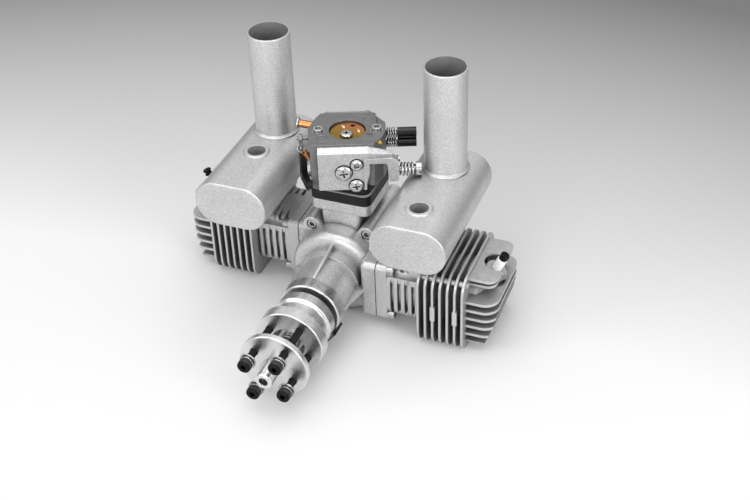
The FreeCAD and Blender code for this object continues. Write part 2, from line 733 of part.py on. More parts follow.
def head_plate(z, end_x, width, corner_r):
    """One level fin of the head."""
    return rounded_block(LAST_FIN_X - corner_r - 1, end_x, -width / 2, width / 2,
                         z - HEAD_FIN_THICK / 2, z + HEAD_FIN_THICK / 2, "z", corner_r)


def head_fins():
    """Level fins of the head, a narrower crown plate and a short lip under it."""
    envelope = head_envelope()
    levels = [HEAD_FIN_TOP_Z - k * HEAD_FIN_PITCH for k in range(HEAD_FIN_COUNT)]
    plates = [head_plate(z, HEAD_END_X, HEAD_WIDTH, 8.0) for z in levels]
    plates.append(head_plate(CROWN_PLATE_Z, CROWN_END_X, CROWN_WIDTH, 5.0))
    plates.append(head_plate(LIP_PLATE_Z, CROWN_END_X - 1.0, CROWN_WIDTH - 6, 5.0))
    return [envelope.common(plate) for plate in plates]


def cylinder():
    """Cylinder with its head in one casting, about its own axis, pointing to +X."""
    bottom_x = CASE_SIDE_X - SPIGOT_LENGTH
    half = BASE_WIDTH / 2
    half_z = BASE_HEIGHT / 2
    body = x_cylinder(SPIGOT_R, bottom_x, BASE_X)
    flange = rounded_block(BASE_X, FLANGE_OUT_X, -half, half, -half_z, half_z, "x", PAD_EDGE_R)
    short_barrel = x_cylinder(SHORT_BARREL_R, FLANGE_OUT_X, FIRST_FIN_X)
    band = block(FLANGE_OUT_X, FIRST_FIN_X - FIN_THICK, -half + 1, half - 1, BAND_LOW_Z, BAND_HIGH_Z)
    pitch = (FIRST_FIN_X - FLANGE_OUT_X) / SHORT_FIN_COUNT
    short_fins = [fin_plate(FLANGE_OUT_X + (k + 0.5) * pitch - SHORT_FIN_GAP / 2, pitch - SHORT_FIN_GAP,
                            BASE_WIDTH, BASE_HEIGHT - 2, SHORT_FIN_CORNER_R)
                  for k in range(SHORT_FIN_COUNT)]
    barrel = x_cylinder(BARREL_R, FIRST_FIN_X, LAST_FIN_X)
    fins = [fin_plate(FIRST_FIN_X + k * FIN_PITCH, FIN_THICK, FIN_WIDTH, FIN_HEIGHT, FIN_CORNER_R)
            for k in range(FIN_COUNT)]
    body = body.fuse([flange, short_barrel, band, barrel] + short_fins + fins)
    block_half = PORT_BLOCK_WIDTH / 2
    port_block = rounded_block(PORT_CENTRE_X - PORT_BLOCK_LENGTH / 2, PORT_CENTRE_X + PORT_BLOCK_LENGTH / 2,
                               -block_half, block_half, 9, PORT_TOP_Z, "z", 3.0)
    core = turned_x([(LAST_FIN_X, 0), (LAST_FIN_X, BARREL_R), (LAST_FIN_X + 4, BARREL_R),
                     (HEAD_CORE_X, BARREL_R - 7), (HEAD_CORE_X, 0)])
    boss = aimed(z_cylinder(PLUG_BOSS_R, 0, PLUG_SEAT), plug_place(0), plug_direction())
    damper = x_cylinder(DAMPER_R, FIRST_FIN_X, LAST_FIN_X + 1.6, -DAMPER_Y, DAMPER_Z)
    tabs = [block(x - TAB_THICK / 2, x + TAB_THICK / 2, -FIN_WIDTH / 2, -FIN_WIDTH / 2 + 2,
                  TAB_Z - TAB_HEIGHT / 2, TAB_Z + TAB_HEIGHT / 2)
            for x in (FIRST_FIN_X + 2 * FIN_PITCH, FIRST_FIN_X + 5 * FIN_PITCH)]
    body = body.fuse([port_block, core, boss, damper] + tabs + head_fins())
    return body.cut(cylinder_cuts())


def cylinder_cuts():
    """Bore, combustion dome, plug hole and pocket, exhaust port and screw holes."""
    dome = turned_x([(CASE_SIDE_X - SPIGOT_LENGTH - 1, 0), (CASE_SIDE_X - SPIGOT_LENGTH - 1, BORE_R),
                     (DECK_X, BORE_R), (DECK_X + 0.6 * DOME_RISE, 0.7 * BORE_R),
                     (DECK_X + DOME_RISE, 0.25 * BORE_R), (DECK_X + DOME_RISE, 0)])
    plug_hole = aimed(z_cylinder(PLUG_THREAD_R + RUNNING, -4, PLUG_SEAT + 2), plug_place(0),
                      plug_direction())
    pocket = aimed(z_cylinder(SOCKET_R, PLUG_SEAT, PLUG_SEAT + 25), plug_place(0), plug_direction())
    half_port = PORT_LENGTH / 2
    port = block(PORT_X - half_port, PORT_X + half_port, -PORT_WIDTH / 2, PORT_WIDTH / 2,
                 BORE_R - 6, PORT_TOP_Z + 1)
    cuts = [dome, plug_hole, pocket, port]
    for y in (-EXHAUST_SPACING / 2, EXHAUST_SPACING / 2):
        cuts.append(z_cylinder(EXHAUST_SCREW_R + SCREW_GAP, PORT_TOP_Z - EXHAUST_BITE - 1,
                               PORT_TOP_Z + 1, SILENCER_X, y))
    for y, z in base_points():
        cuts.append(x_cylinder(BASE_SCREW_R + SCREW_GAP, BASE_X - 1, FLANGE_OUT_X + 1, y, z))
        cuts.append(x_cylinder(BASE_HEAD_R + LOOSE, FLANGE_OUT_X, FIRST_FIN_X - FIN_THICK, y, z))
    return cuts


def base_gasket():
    """Gasket under a cylinder base."""
    half = BASE_WIDTH / 2
    half_z = BASE_HEIGHT / 2
    sheet = rounded_block(CASE_SIDE_X, BASE_X, -half, half, -half_z, half_z, "x", PAD_EDGE_R)
    holes = [x_cylinder(BASE_SCREW_R + SCREW_GAP, CASE_SIDE_X - 1, BASE_X + 1, y, z)
             for y, z in base_points()]
    return sheet.cut([x_cylinder(SPIGOT_R + RUNNING, CASE_SIDE_X - 1, BASE_X + 1)] + holes)


def base_screws():
    """Four screws that hold one cylinder to the case."""
    screw = socket_screw(BASE_SCREW_R, BASE_THICK + GASKET + BASE_BITE, BASE_HEAD_R, BASE_HEAD_H)
    return [aimed(screw, (FLANGE_OUT_X, y, z), (1, 0, 0)) for y, z in base_points()]


def plug_washer():
    """Sealing washer on the plug seat."""
    return turned_z([(0, PLUG_THREAD_R + SCREW_GAP), (0, PLUG_THREAD_R + 1.6),
                     (1.2, PLUG_THREAD_R + 1.6), (1.2, PLUG_THREAD_R + SCREW_GAP)])


def plug_shell():
    """Steel shell of the spark plug with thread, hexagon and crimped collar."""
    body = turned_z([(-PLUG_REACH, 2.4), (-PLUG_REACH, PLUG_THREAD_R - 0.4),
                     (-PLUG_REACH + 0.6, PLUG_THREAD_R), (1.2, PLUG_THREAD_R), (1.2, 6.6),
                     (9.0, 6.6), (10.0, 5.4), (10.0, 2.75), (-PLUG_REACH + 3, 2.75),
                     (-PLUG_REACH + 3, 2.4)])
    nut = hexagon(PLUG_HEX, 1.8, 7.6).cut(z_cylinder(6.0, 0, 10))
    return body.fuse(nut)


def plug_ceramic():
    """White insulator of the spark plug."""
    return turned_z([(-PLUG_REACH + 3.1, 0), (-PLUG_REACH + 3.1, 2.7), (PLUG_TIP - 3.8, 2.7),
                     (PLUG_TIP - 3.5, 2.4), (PLUG_TIP - 3.5, 0)])


def plug_terminal():
    """Terminal nut on top of the ceramic."""
    low = PLUG_TIP - 3.5
    return turned_z([(low, 0), (low, 2.3), (low + 0.9, 2.3), (low + 1.3, 1.7), (low + 1.9, 1.7),
                     (low + 2.3, 2.4), (PLUG_TIP - 0.3, 2.4), (PLUG_TIP, 2.1), (PLUG_TIP, 0)])


def on_plug_axis(shape):
    """Part built along +Z from the plug seat, moved onto the plug's axis."""
    return aimed(shape, plug_place(PLUG_SEAT), plug_direction())


def silencer(side):
    """Oval silencer can with welded caps, access tube and foot."""
    sign = {"right": 1, "left": -1}[side]
    front = {"right": RIGHT_SILENCER_Y, "left": LEFT_SILENCER_Y}[side]
    cylinder_y = {"right": RIGHT_Y, "left": LEFT_Y}[side]
    mid_x = sign * SILENCER_X
    half = SILENCER_WIDTH / 2
    wall = SILENCER_WALL
    outer = rounded_block(mid_x - half, mid_x + half, front, front + SILENCER_LENGTH,
                          SILENCER_BOTTOM_Z, SILENCER_TOP_Z, "y", SILENCER_CORNER_R)
    ends = [edge for edge in outer.Edges if abs(edge.CenterOfMass.y - front) < 0.01
            or abs(edge.CenterOfMass.y - front - SILENCER_LENGTH) < 0.01]
    outer = outer.makeFillet(SILENCER_EDGE_R, ends)
    inner = rounded_block(mid_x - half + wall, mid_x + half - wall, front + 2 * wall,
                          front + SILENCER_LENGTH - 2 * wall, SILENCER_BOTTOM_Z + wall,
                          SILENCER_TOP_Z - wall, "y", SILENCER_CORNER_R - wall)
    stack_y = front + {"right": RIGHT_STACK, "left": LEFT_STACK}[side]
    screw_y = cylinder_y - EXHAUST_SPACING / 2
    foot_z = PORT_TOP_Z + GASKET
    foot_x = sign * PORT_CENTRE_X
    foot = rounded_block(foot_x - PORT_BLOCK_LENGTH / 2, foot_x + PORT_BLOCK_LENGTH / 2,
                         cylinder_y - PORT_BLOCK_WIDTH / 2, cylinder_y + PORT_BLOCK_WIDTH / 2,
                         foot_z, SILENCER_BOTTOM_Z + wall, "z", 3.0)
    collar = turned_z([(SILENCER_TOP_Z - 1, 0), (SILENCER_TOP_Z - 1, ACCESS_COLLAR_R),
                       (SILENCER_TOP_Z + 0.3, ACCESS_COLLAR_R),
                       (SILENCER_TOP_Z + ACCESS_COLLAR_H, ACCESS_COLLAR_R - 0.7),
                       (SILENCER_TOP_Z + ACCESS_COLLAR_H, 0)])
    collar.translate(V(mid_x, screw_y, 0))
    tube = z_cylinder(ACCESS_R + ACCESS_WALL, SILENCER_BOTTOM_Z, SILENCER_TOP_Z, mid_x, screw_y)
    shell = outer.cut([inner, z_cylinder(STACK_R + RUNNING, SILENCER_TOP_Z - SILENCER_CORNER_R,
                                         SILENCER_TOP_Z + 1, mid_x, stack_y)])
    port_x = sign * PORT_X
    head_floor = SILENCER_BOTTOM_Z + wall
    port = block(port_x - PORT_LENGTH / 2, port_x + PORT_LENGTH / 2, cylinder_y - PORT_WIDTH / 2,
                 cylinder_y + PORT_WIDTH / 2, foot_z - 1, head_floor + 1)
    shell = shell.fuse([foot, tube, collar])
    cuts = [port, z_cylinder(ACCESS_R, head_floor, SILENCER_TOP_Z + 5, mid_x, screw_y)]
    cuts += [z_cylinder(EXHAUST_SCREW_R + SCREW_GAP, foot_z - 1, head_floor + 1, mid_x,
                        cylinder_y + s * EXHAUST_SPACING / 2) for s in (-1, 1)]
    return shell.cut(cuts)


def stack(side):
    """Tail pipe welded into the top of a silencer."""
    sign = {"right": 1, "left": -1}[side]
    y = {"right": RIGHT_SILENCER_Y + RIGHT_STACK, "left": LEFT_SILENCER_Y + LEFT_STACK}[side]
    low = SILENCER_TOP_Z - SILENCER_WALL - 2
    top = STACK_TOP_Z
    inner_r = STACK_R - STACK_WALL
    tube = turned_z([(low, inner_r), (low, STACK_R), (SILENCER_TOP_Z + RUNNING, STACK_R),
                     (SILENCER_TOP_Z + RUNNING, STACK_R + WELD), (SILENCER_TOP_Z + 0.5, STACK_R + 0.8),
                     (SILENCER_TOP_Z + WELD, STACK_R), (top - 0.3, STACK_R), (top, STACK_R - 0.3),
                     (top, inner_r)])
    tube.translate(V(sign * SILENCER_X, y, 0))
    return tube


def exhaust_gasket():
    """Gasket between an exhaust port and the foot of its silencer."""
    sheet = rounded_block(PORT_CENTRE_X - PORT_BLOCK_LENGTH / 2, PORT_CENTRE_X + PORT_BLOCK_LENGTH / 2,
                          -PORT_BLOCK_WIDTH / 2, PORT_BLOCK_WIDTH / 2, PORT_TOP_Z,
                          PORT_TOP_Z + GASKET, "z", 3.0)
    port = block(PORT_X - PORT_LENGTH / 2, PORT_X + PORT_LENGTH / 2, -PORT_WIDTH / 2, PORT_WIDTH / 2,
                 PORT_TOP_Z - 1, PORT_TOP_Z + GASKET + 1)
    holes = [z_cylinder(EXHAUST_SCREW_R + SCREW_GAP, PORT_TOP_Z - 1, PORT_TOP_Z + GASKET + 1,
                        SILENCER_X, s * EXHAUST_SPACING / 2) for s in (-1, 1)]
    return sheet.cut([port] + holes)


def exhaust_screws():
    """Two screws that hold one silencer down on its cylinder."""
    seat_z = SILENCER_BOTTOM_Z + SILENCER_WALL
    screw = socket_screw(EXHAUST_SCREW_R, seat_z - PORT_TOP_Z + EXHAUST_BITE, EXHAUST_HEAD_R,
                         EXHAUST_HEAD_H)
    return [aimed(screw, (SILENCER_X, s * EXHAUST_SPACING / 2, seat_z), (0, 0, 1)) for s in (-1, 1)]


def carb_body():
    """Body of the diaphragm carburettor with its upright bore."""
    corners = [V(u, v, CARB_BOTTOM_Z) for u, v in CARB_OUTLINE]
    body = Part.Face(Part.makePolygon(corners + corners[:1]))
    body = body.extrude(V(0, 0, CARB_TOP_Z - CARB_BOTTOM_Z))
    ears = [z_cylinder(CARB_HEAD_R + 1.2, CARB_BOTTOM_Z, CARB_TOP_Z, s * CARB_SPACING / 2, 0)
            for s in (-1, 1)]
    body = body.fuse(ears)
    bore = turned_z([(CARB_BOTTOM_Z - 1, 0), (CARB_BOTTOM_Z - 1, THROTTLE_BORE_R),
                     (MOUTH_FLOOR_Z - 0.8, THROTTLE_BORE_R), (MOUTH_FLOOR_Z, MOUTH_R),
                     (CARB_TOP_Z + 1, MOUTH_R), (CARB_TOP_Z + 1, 0)])
    needle_holes = [x_cylinder(NEEDLE_R + SCREW_GAP, NEEDLE_HOLE_FROM_U, NEEDLE_HOLE_TO_U, NEEDLE_V, z)
                    for z in (HIGH_NEEDLE_Z, LOW_NEEDLE_Z)]
    choke_hole = x_cylinder(CHOKE_SHAFT_R + RUNNING, -CARB_CUT_REACH, CHOKE_RIGHT_U + LOOSE, CHOKE_V,
                            CHOKE_Z)
    throttle_hole = x_cylinder(THROTTLE_SHAFT_R + RUNNING, -CARB_CUT_REACH, CARB_CUT_REACH, 0,
                               THROTTLE_Z)
    throttle_hole.rotate(V(0, 0, 0), V(0, 0, 1), SHAFT_TURN)
    nipple_hole = aimed(z_cylinder(NIPPLE_ROOT_R + RUNNING, -NIPPLE_PRESSED, 3), NIPPLE_PLACE,
                        NIPPLE_AXIS)
    cover_holes = [y_cylinder(r + SCREW_GAP, -16, -9, u, z) for u, z, r, head in cover_screw_places()]
    holes = [z_cylinder(CARB_SCREW_R + SCREW_GAP, CARB_BOTTOM_Z - 1, CARB_TOP_Z + 1,
                        s * CARB_SPACING / 2, 0) for s in (-1, 1)]
    seats = [z_cylinder(CARB_HEAD_R + 0.3, CARB_TOP_Z - CARB_SEAT_DEPTH, CARB_TOP_Z + 1,
                        s * CARB_SPACING / 2, 0) for s in (-1, 1)]
    meter_holes = [y_cylinder(METER_SCREW_R + SCREW_GAP, 12, 18, u, z) for u, z in meter_screw_places()]
    shelf = block(SHELF_U, 40, SHELF_V, 40, SHELF_Z, CARB_TOP_Z + 1)
    marks = [z_cylinder(MARK_R, CARB_TOP_Z - MARK_DEPTH, CARB_TOP_Z + 1, u, v) for u, v in MARKS]
    slot = z_cylinder(SLOT_R, CARB_TOP_Z - SLOT_DEPTH, CARB_TOP_Z + 1, *SLOT_PLACE)
    cuts = [bore, choke_hole, throttle_hole, nipple_hole, shelf, slot] + needle_holes + cover_holes
    return body.cut(cuts + holes + seats + meter_holes + marks)


def cover_screw_places():
    """Screws on the front cover as (u, z, shank radius, head radius)."""
    return [(-2.4, 61.1, 2.0, 3.9), (4.5, 65.9, 1.5, 2.9), (4.0, 53.0, 1.6, 3.2)]


def meter_screw_places():
    """Screws of the metering cover as (u, z)."""
    return [(side * METER_SCREW_U, z) for side in (-1, 1) for z in METER_SCREW_Z]


def across_section(u, points):
    """Closed wire in the plane at one u, through points given as (v, z)."""
    corners = [V(u, v, z) for v, z in points]
    return Part.makePolygon(corners + corners[:1])


def pump_cover():
    """Cast front cover with a sloped top and the bracket that carries the idle screw."""
    body_v = CARB_OUTLINE[5][1]
    depth = body_v - COVER_FACE_V
    outline = [(COVER_LEFT_U, COVER_LOW_Z), (COVER_LEFT_U, COVER_FRONT_TOP_Z),
               (RIDGE_LEFT_U, COVER_FRONT_TOP_Z), (RIDGE_LEFT_U, RIDGE_Z)]
    corners = [V(u, COVER_FACE_V, z) for u, z in outline + list(ARM_OUTLINE)]
    plate = Part.Face(Part.makePolygon(corners + corners[:1])).extrude(V(0, depth, 0))
    arm = [(ARM_LEFT_U, COVER_LOW_Z), (ARM_LEFT_U, RIDGE_Z)] + list(ARM_OUTLINE)
    arm = [V(u, ARM_FACE_V, z) for u, z in arm]
    arm = Part.Face(Part.makePolygon(arm + arm[:1])).extrude(V(0, body_v - ARM_FACE_V, 0))
    bevel = across_section(COVER_LEFT_U, [(COVER_FACE_V, COVER_FRONT_TOP_Z), (body_v, COVER_TOP_Z),
                                          (body_v, COVER_FRONT_TOP_Z)])
    bevel = Part.Face(bevel).extrude(V(RIDGE_LEFT_U - COVER_LEFT_U, 0, 0))
    under_z = RIDGE_Z - 0.1
    high = across_section(RIDGE_LEFT_U, [(COVER_FACE_V, under_z), (COVER_FACE_V, COVER_FRONT_TOP_Z),
                                         (body_v, COVER_TOP_Z), (body_v, under_z)])
    low = across_section(RIDGE_RIGHT_U, [(body_v - 2.2, under_z), (body_v - 2.2, RIDGE_Z + 1.1),
                                         (body_v, RIDGE_Z + 1.6), (body_v, under_z)])
    wedge = Part.makeLoft([high, low], True, True)
    foot = rounded_block(0.2, 7.8, COVER_FACE_V, body_v, 50.2, 58, "y", 3.0)
    cover = plate.fuse([arm, bevel, wedge, foot])
    idle = x_cylinder(IDLE_R + RUNNING, IDLE_TIP_U - 2, COVER_ARM_U + 1, IDLE_V, IDLE_Z)
    holes = [y_cylinder(r + SCREW_GAP, -21, -9, u, z) for u, z, r, head in cover_screw_places()]
    return cover.cut([idle] + holes)


def metering_cover():
    """Stamped rear cover over the metering diaphragm, with its vent hole."""
    body_v = CARB_OUTLINE[1][1] + 0.75
    half = METER_WIDTH / 2
    low = METER_LOW_Z
    high = METER_TOP_Z
    rim = rounded_block(-half, half, body_v, body_v + 1.6, low, high, "y", 3.0)
    mid_z = (low + high) / 2
    pan = y_cylinder(9.4, body_v, body_v + METER_THICK, 0, mid_z)
    edge = [e for e in pan.Edges if isinstance(e.Curve, Part.Circle) and e.CenterOfMass.y > body_v + 1]
    pan = pan.makeFillet(1.6, edge)
    vent = y_cylinder(1.0, body_v + METER_THICK - 1.5, body_v + METER_THICK + 1, 0, mid_z)
    holes = [y_cylinder(METER_SCREW_R + SCREW_GAP, body_v - 1, body_v + 3, u, z)
             for u, z in meter_screw_places()]
    spacer = rounded_block(-half, half, 16.5, body_v, low, high, "y", 3.0)
    cover = rim.fuse([pan, spacer]).cut([vent] + holes)
    corners = [V(u, v, CARB_BOTTOM_Z - 1) for u, v in CARB_OUTLINE]
    body = Part.Face(Part.makePolygon(corners + corners[:1])).extrude(V(0, 0, 40))
    return cover.cut(body)


def carb_screws():
    """Two long screws through carburettor and insulator into the case, with washers."""
    seat = CARB_TOP_Z - CARB_SEAT_DEPTH
    washer = turned_z([(0, CARB_SCREW_R + SCREW_GAP), (0, CARB_HEAD_R + 0.2), (0.6, CARB_HEAD_R + 0.2),
                       (0.6, CARB_SCREW_R + SCREW_GAP)])
    screw = socket_screw(CARB_SCREW_R, seat + 0.6 - TOWER_TOP_Z + SCREW_BITE, CARB_HEAD_R - 0.7, 1.6)
    parts = []
    for s in (-1, 1):
        parts.append(aimed(washer, (s * CARB_SPACING / 2, 0, seat), (0, 0, 1)))
        parts.append(aimed(screw, (s * CARB_SPACING / 2, 0, seat + 0.6), (0, 0, 1)))
    return [on_carb(part) for part in parts]


def cover_screws():
    """Screws of the front and rear covers of the carburettor."""
    parts = []
    for u, z, shank_r, head_r in cover_screw_places():
        length = CARB_OUTLINE[5][1] - COVER_FACE_V + 4
        screw = turned_z([(-length, 0), (-length, shank_r), (0, shank_r), (0, head_r), (1.0, head_r),
                          (1.7, 0.7 * head_r), (1.7, 0)])
        screw = screw.cut(hexagon(0.9 * head_r, 0.9, 3))
        parts.append(aimed(screw, (u, COVER_FACE_V, z), (0, -1, 0)))
    meter_v = CARB_OUTLINE[1][1] + 0.75 + 1.6
    for u, z in meter_screw_places():
        screw = turned_z([(-5, 0), (-5, METER_SCREW_R), (0, METER_SCREW_R), (0, METER_HEAD_R),
                          (0.8, METER_HEAD_R), (1.2, METER_HEAD_R - 0.7), (1.2, 0)])
        parts.append(aimed(screw, (u, meter_v, z), (0, 1, 0)))
    return [on_carb(part) for part in parts]


def on_shaft(shape):
    """Part built along a butterfly shaft, turned clear of the long screws, on the carburettor."""
    placed = shape.copy()
    placed.rotate(V(0, 0, 0), V(0, 0, 1), SHAFT_TURN)
    return on_carb(placed)


def butterfly_shaft(radius, z, right_u, v, flat_z, reach):
    """Shaft across the carburettor bore, milled flat where its plate lies on it."""
    shaft = x_cylinder(radius, SHAFT_LEFT_U, right_u, v, z)
    return shaft.cut(block(-reach, reach, v - 5, v + 5, flat_z, z + 5))


def choke_plate():
    """Round plate near the mouth, off centre on its shaft, with its idle hole."""
    plate = z_cylinder(CHOKE_PLATE_R, CHOKE_Z, CHOKE_Z + PLATE_THICK)
    return plate.cut(z_cylinder(1.3, CHOKE_Z - 1, CHOKE_Z + 2, 2.9, 6.0))


def throttle_plate():
    """Round plate that closes the throttle bore."""
    return z_cylinder(THROTTLE_BORE_R - 0.2, THROTTLE_Z, THROTTLE_Z + PLATE_THICK)


def plate_screw():
    """Screw that holds the choke plate on its shaft."""
    low = CHOKE_Z + PLATE_THICK
    screw = turned_z([(low, 0), (low, 3.1), (low + 0.5, 3.1), (low + 1.2, 2.1), (low + 1.2, 0)])
    screw.translate(V(-0.5, CHOKE_V, 0))
    return screw


def lever(shaft_r, u, thickness, v, z, reach, angle, end_r):
    """Lever on a shaft end, rounded at both ends, hanging down before it is turned."""
    hub = x_cylinder(shaft_r + 1.2, u, u + thickness, v, z)
    eye = x_cylinder(end_r, u, u + thickness, v, z - reach)
    bar = block(u, u + thickness, v - end_r, v + end_r, z - reach, z)
    arm = hub.fuse([eye, bar])
    arm.rotate(V(0, v, z), V(1, 0, 0), angle)
    return arm.cut(x_cylinder(shaft_r + RUNNING, u - 1, u + thickness + 1, v, z))


def throttle_lever():
    """Black bell crank on the throttle shaft: an upright arm and a shorter arm forward."""
    thick = BELL_CRANK_THICK
    upright = lever(THROTTLE_SHAFT_R, SHAFT_LEFT_U, thick, 0, THROTTLE_Z, 12.0, 180, 1.8)
    forward = lever(THROTTLE_SHAFT_R, SHAFT_LEFT_U, thick, 0, THROTTLE_Z, 10.0, -90, 2.2)
    return upright.fuse(forward)


def needle(z):
    """Mixture needle with its black cap, pointing to +u."""
    seat_u = body_side_u(NEEDLE_V)
    cap_u = seat_u + NEEDLE_SPRING_LENGTH
    shank = x_cylinder(NEEDLE_R, 14.5, cap_u + 1, NEEDLE_V, z)
    cap = x_cylinder(NEEDLE_CAP_R, cap_u, cap_u + NEEDLE_CAP_LENGTH, NEEDLE_V, z)
    slot = block(cap_u + NEEDLE_CAP_LENGTH - 1.5, cap_u + NEEDLE_CAP_LENGTH + 1, NEEDLE_V - 0.4,
                 NEEDLE_V + 0.4, z - 5, z + 5)
    return shank.fuse(cap).cut(slot)


def body_side_u(v):
    """Where the right side of the carburettor body lies at a given v."""
    return max(u for u, side_v in CARB_OUTLINE) if v < CARB_OUTLINE[2][1] else CARB_OUTLINE[1][0]


def needle_springs():
    """Springs that hold the mixture needles still."""
    seat_u = body_side_u(NEEDLE_V)
    spring = spring_sleeve(NEEDLE_SPRING_R, NEEDLE_SPRING_LENGTH, SPRING_WIRE)
    return [on_carb(aimed(spring, (seat_u, NEEDLE_V, z), (1, 0, 0)))
            for z in (HIGH_NEEDLE_Z, LOW_NEEDLE_Z)]


def idle_screw():
    """Idle speed screw, its head outside the bracket and its tip at the throttle arm."""
    head_u = COVER_ARM_U + IDLE_SPRING_LENGTH
    shank = x_cylinder(IDLE_R, IDLE_TIP_U, head_u + 1, IDLE_V, IDLE_Z)
    head = x_cylinder(IDLE_HEAD_R, head_u, head_u + 2.8, IDLE_V, IDLE_Z)
    slot = block(head_u + 1.6, head_u + 4, IDLE_V - 5, IDLE_V + 5, IDLE_Z - 0.5, IDLE_Z + 0.5)
    return shank.fuse(head).cut(slot)


def idle_spring():
    """Spring of the idle screw."""
    spring = spring_sleeve(IDLE_HEAD_R, IDLE_SPRING_LENGTH, SPRING_WIRE * 1.2)
    return aimed(spring, (COVER_ARM_U, IDLE_V, IDLE_Z), (1, 0, 0))


def fuel_nipple():
    """Copper-coloured hose tube with a rounded end, pressed into the carburettor's corner."""
    tip = NIPPLE_REACH
    tube = turned_z([(-NIPPLE_PRESSED, NIPPLE_BORE_R), (-NIPPLE_PRESSED, NIPPLE_ROOT_R),
                     (2.2, NIPPLE_ROOT_R), (2.6, NIPPLE_R), (tip - NIPPLE_ROUND, NIPPLE_R),
                     (tip, NIPPLE_R - NIPPLE_ROUND), (tip, NIPPLE_BORE_R)])
    return aimed(tube, NIPPLE_PLACE, NIPPLE_AXIS)


def crank_web(y_from, y_to, side):
    """Crank web with its counterweight, narrow where the crank pin sits."""
    disc = y_cylinder(WEB_R, y_from, y_to)
    cheeks = []
    for x in (-1, 1):
        cheek = block(min(x * 9.5, x * 30), max(x * 9.5, x * 30), y_from - 1, y_to + 1, 3, 40)
        cheeks.append(cheek)
    web = disc.cut(cheeks)
    if side < 0:
        web.rotate(V(0, 0, 0), V(0, 1, 0), 180)
    return web


def crankshaft():
    """Two-throw crankshaft at its rest angle: right crank pin up, left crank pin down."""
    front_web_y = RIGHT_Y - PIN_HALF - WEB_THICK
    rear_web_y = LEFT_Y + PIN_HALF
    parts = [y_cylinder(JOURNAL_R, rear_web_y + WEB_THICK, REAR_BEARING_Y + BEARING_WIDTH - RUNNING),
             crank_web(rear_web_y, rear_web_y + WEB_THICK, -1),
             y_cylinder(PIN_R, LEFT_Y - PIN_HALF, LEFT_Y + PIN_HALF, 0, -CRANK_R),
             y_cylinder(WEB_R, RIGHT_Y + PIN_HALF, LEFT_Y - PIN_HALF),
             y_cylinder(PIN_R, RIGHT_Y - PIN_HALF, RIGHT_Y + PIN_HALF, 0, CRANK_R),
             crank_web(front_web_y, front_web_y + WEB_THICK, 1),
             y_cylinder(JOURNAL_R, NOSE_FRONT_Y, front_web_y),
             y_cylinder(NOSE_SHAFT_R, SHAFT_END_Y, NOSE_FRONT_Y),
             y_cylinder(TIP_R, SHAFT_END_Y - TIP_LENGTH, SHAFT_END_Y)]
    return parts[0].fuse(parts[1:])


def drive_hub():
    """Turned propeller hub with collar, neck and recessed flange."""
    bore = NOSE_SHAFT_R + RUNNING
    collar_front = HUB_REAR_Y - COLLAR_LENGTH
    flange_rear = HUB_FRONT_Y + HUB_FLANGE_THICK
    hub = turned_y([(HUB_REAR_Y, bore), (HUB_REAR_Y, COLLAR_R - 0.8), (HUB_REAR_Y - 0.8, COLLAR_R),
                    (collar_front, COLLAR_R), (collar_front - 1.2, HUB_NECK_R),
                    (flange_rear + 4.2, HUB_NECK_R), (flange_rear + 1.6, HUB_NECK_R + 0.9),
                    (flange_rear + 0.6, HUB_FLANGE_R - 1.2), (flange_rear, HUB_FLANGE_R),
                    (HUB_FRONT_Y + 0.4, HUB_FLANGE_R), (HUB_FRONT_Y, HUB_FLANGE_R - 0.4),
                    (HUB_FRONT_Y, RECESS_R), (NUT_REAR_Y, RECESS_R), (NUT_REAR_Y, bore)])
    holes = [y_cylinder(PROP_BOLT_R + SCREW_GAP, HUB_FRONT_Y - 1, HUB_FRONT_Y + PROP_BOLT_BITE + 1, x, z)
             for x, z in prop_bolt_points()]
    return hub.cut(holes)


def hub_nut():
    """Nut that clamps the hub, on its washer in the hub's recess."""
    bore = NOSE_SHAFT_R + RUNNING
    front = NUT_REAR_Y - NUT_WASHER - NUT_THICK
    washer = turned_y([(NUT_REAR_Y - NUT_WASHER, bore), (NUT_REAR_Y - NUT_WASHER, RECESS_R - LOOSE),
                       (NUT_REAR_Y, RECESS_R - LOOSE), (NUT_REAR_Y, bore)])
    nut = aimed(hexagon(NUT_HEX, 0, NUT_THICK), (0, front, 0), (0, 1, 0))
    return [washer, nut.cut(y_cylinder(bore, front - 1, front + NUT_THICK + 1))]


def spinner_stub():
    """Stub on the shaft tip with the tapped hole for a spinner."""
    rear = SHAFT_END_Y
    front = STUB_FRONT_Y
    bore = TIP_R + RUNNING
    return turned_y([(rear, bore), (rear, STUB_ROOT_R), (STUB_STEP_Y, STUB_ROOT_R),
                     (STUB_STEP_Y, STUB_R), (front + 0.6, STUB_R), (front, STUB_R - 0.6),
                     (front, STUB_HOLE_R), (front + STUB_HOLE_DEPTH, STUB_HOLE_R),
                     (front + STUB_HOLE_DEPTH, 0), (rear - TIP_LENGTH - LOOSE, 0),
                     (rear - TIP_LENGTH - LOOSE, bore)])


def drive_washer():
    """Loose round plate that clamps the propeller against the hub."""
    front = DISC_FRONT_Y
    rear = DISC_FRONT_Y + DISC_THICK
    bore = STUB_ROOT_R + SLIDING
    disc = turned_y([(front, bore), (front, DISC_R - 0.4), (front + 0.4, DISC_R),
                     (rear - 0.4, DISC_R), (rear, DISC_R - 0.4), (rear, bore)])
    holes = [y_cylinder(PROP_BOLT_R + 0.25, front - 1, rear + 1, x, z) for x, z in prop_bolt_points()]
    return disc.cut(holes)


def prop_bolts():
    """Four black socket head bolts for the propeller, screwed part way into the hub."""
    length = HUB_FRONT_Y + PROP_BOLT_BITE - PROP_HEAD_Y
    bolt = socket_screw(PROP_BOLT_R, length, PROP_HEAD_R, PROP_HEAD_H)
    return [aimed(bolt, (x, PROP_HEAD_Y, z), (0, -1, 0)) for x, z in prop_bolt_points()]


